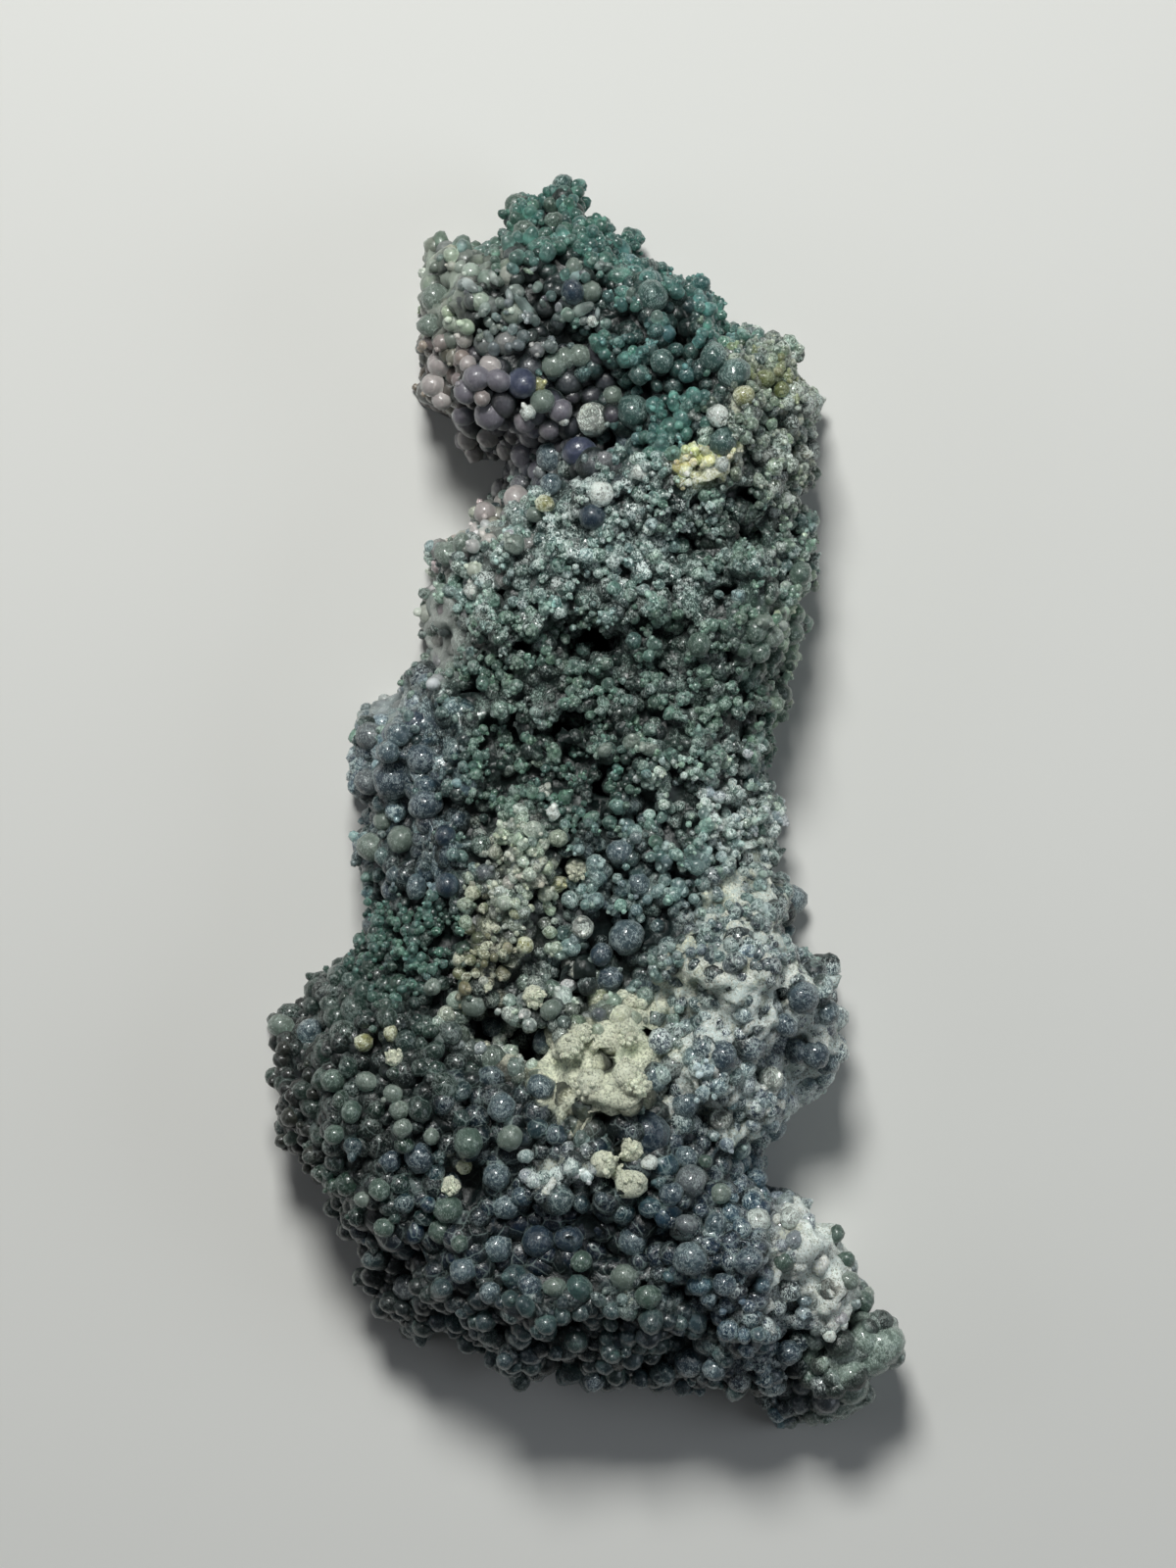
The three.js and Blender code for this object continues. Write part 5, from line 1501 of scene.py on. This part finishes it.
        mesh = bpy.data.meshes.new_from_object(holder.evaluated_get(graph))
        holder.modifiers.remove(modifier)
        bpy.data.objects.remove(holder)
        mesh.name = name
        self.shade(mesh, chosen, near)
        piece = bpy.data.objects.new(name, mesh)
        bpy.context.scene.collection.objects.link(piece)
        return piece

    def shade(self, mesh: bpy.types.Mesh, chosen: np.ndarray, near: list[np.ndarray]) -> None:
        """Writes how close each vertex is to a crease, and how deep it lies, which the material turns into painted
        shade.

        Args:
            mesh: The finished mesh of the piece.
            chosen: Numbers of its balls, in the mesh's order.
            near: The neighbours of every ball.
        """
        balls = self.balls
        count = len(mesh.vertices)
        each = count // len(chosen)
        place = np.zeros(count * 3)
        mesh.vertices.foreach_get("co", place)
        place = place.reshape(len(chosen), each, 3) / MM
        centres = np.array([tuple(c) for c in balls.centre])
        radii = np.array(balls.radius)
        crease = np.zeros((len(chosen), each))
        depth = np.zeros((len(chosen), each))
        for row, i in enumerate(chosen):
            if len(near[i]):
                away = np.linalg.norm(place[row][:, None] - centres[near[i]][None], axis=2) - radii[near[i]][None]
                crease[row] = np.clip(1 - away.min(1) / self.web_reach_mm, 0, 1)
            anchor = np.array(balls.anchor[i])
            normal = np.array(balls.outward[i])
            depth[row] = np.clip((anchor - place[row]) @ normal, 0, 6)
        write_floats(mesh, "crease", crease.ravel())
        write_floats(mesh, "depth", depth.ravel())


@dataclass
class Studio:
    """The floor, the lights and the camera."""

    floor_colour: Colour = (214, 213, 210)
    floor_size: float = 6.0

    def eye(self) -> Vector:
        """Returns the camera's place in millimetres."""
        x, y = on_plan(PHOTO_WIDTH / 2, PHOTO_HEIGHT / 2)
        return Vector((x, y, VIEW_LEVEL + VIEW_DISTANCE))

    def add_camera(self) -> None:
        """Adds the camera straight above, as in the photograph."""
        data = bpy.data.cameras.new("camera")
        data.sensor_fit = "VERTICAL"
        data.sensor_height = 24.0
        data.lens = data.sensor_height * VIEW_DISTANCE / (PHOTO_HEIGHT / PIXELS_PER_MM)
        data.clip_start = 0.01
        data.clip_end = 20.0
        camera = bpy.data.objects.new("camera", data)
        camera.location = self.eye() * MM
        bpy.context.scene.collection.objects.link(camera)
        bpy.context.scene.camera = camera

    def add_floor(self) -> None:
        """Adds the plain pale floor."""
        mesh = bpy.data.meshes.new("floor")
        half = self.floor_size / 2
        mesh.from_pydata([(-half, -half, 0), (half, -half, 0), (half, half, 0), (-half, half, 0)], [], [(0, 1, 2, 3)])
        material = bpy.data.materials.new("floor")
        material.use_nodes = True
        shader = material.node_tree.nodes["Principled BSDF"]
        shader.inputs["Base Color"].default_value = linear(self.floor_colour)
        shader.inputs["Roughness"].default_value = 0.9
        mesh.materials.append(material)
        floor = bpy.data.objects.new("floor", mesh)
        floor.location.z = -0.0002
        bpy.context.scene.collection.objects.link(floor)
        floor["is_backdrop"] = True

    def add_light(self, name: str, place: tuple[float, float, float], size: float, power: float,
                  colour: Colour) -> None:
        """Adds a soft lamp that faces the specimen.

        Args:
            name: Name of the lamp.
            place: Where it hangs, in metres.
            size: Its width in metres.
            power: Its power in watts.
            colour: Its colour.
        """
        data = bpy.data.lights.new(name, "AREA")
        data.size = size
        data.energy = power
        data.color = linear(colour)[:3]
        lamp = bpy.data.objects.new(name, data)
        lamp.location = place
        lamp.rotation_euler = (Vector((0, 0, 0.015)) - Vector(place)).to_track_quat("-Z", "Y").to_euler()
        bpy.context.scene.collection.objects.link(lamp)

    def build(self) -> None:
        """Builds the whole set."""
        self.add_camera()
        self.add_floor()
        self.add_light("key", (-0.06, 0.38, 0.56), 0.16, 4.5, (252, 254, 251))
        self.add_light("fill", (0.62, -0.08, 0.42), 0.4, 0.9, (236, 246, 255))
        self.add_light("side", (-0.7, 0.05, 0.45), 0.4, 0.5, (244, 248, 255))
        world = bpy.data.worlds.new("studio")
        world.use_nodes = True
        background = world.node_tree.nodes["Background"]
        background.inputs["Color"].default_value = linear((226, 232, 236))
        background.inputs["Strength"].default_value = 0.055
        bpy.context.scene.world = world
        bpy.context.scene.view_settings.view_transform = "Standard"


def main() -> None:
    """Builds the specimen and its studio, and reports each piece."""
    logging.basicConfig(level=logging.INFO, format="%(message)s")
    studio = Studio()
    studio.build()
    material = StoneFinish().build()
    fields = FieldMap(FIELDS)
    mass = Mass()
    carrier = mass.carrier(fields)
    growth = Growth(carrier, fields)
    growth.place_heroes(studio.eye())
    for crop in CROPS:
        growth.sow(crop)
        LOG.info("%d balls", len(growth.balls))
    growth.bud()
    LOG.info("grew %d balls", len(growth.balls))
    pieces = [mass.build(carrier, fields, material)]
    pieces += BallHeap(growth.balls, material).build()
    total = 0
    for piece in pieces:
        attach(piece, BODY)
        piece.data.calc_loop_triangles()
        total += len(piece.data.loop_triangles)
        LOG.info("%s: %d triangles", piece.name, len(piece.data.loop_triangles))
    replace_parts(pieces[0], NODE)
    LOG.info("all: %d triangles", total)
    boxes = [[list(corner) for corner in box] for box in (CAD_BOX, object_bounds())]
    {"cad": boxes[0], "visual": boxes[1]}


if __name__ == "__main__":
    main()
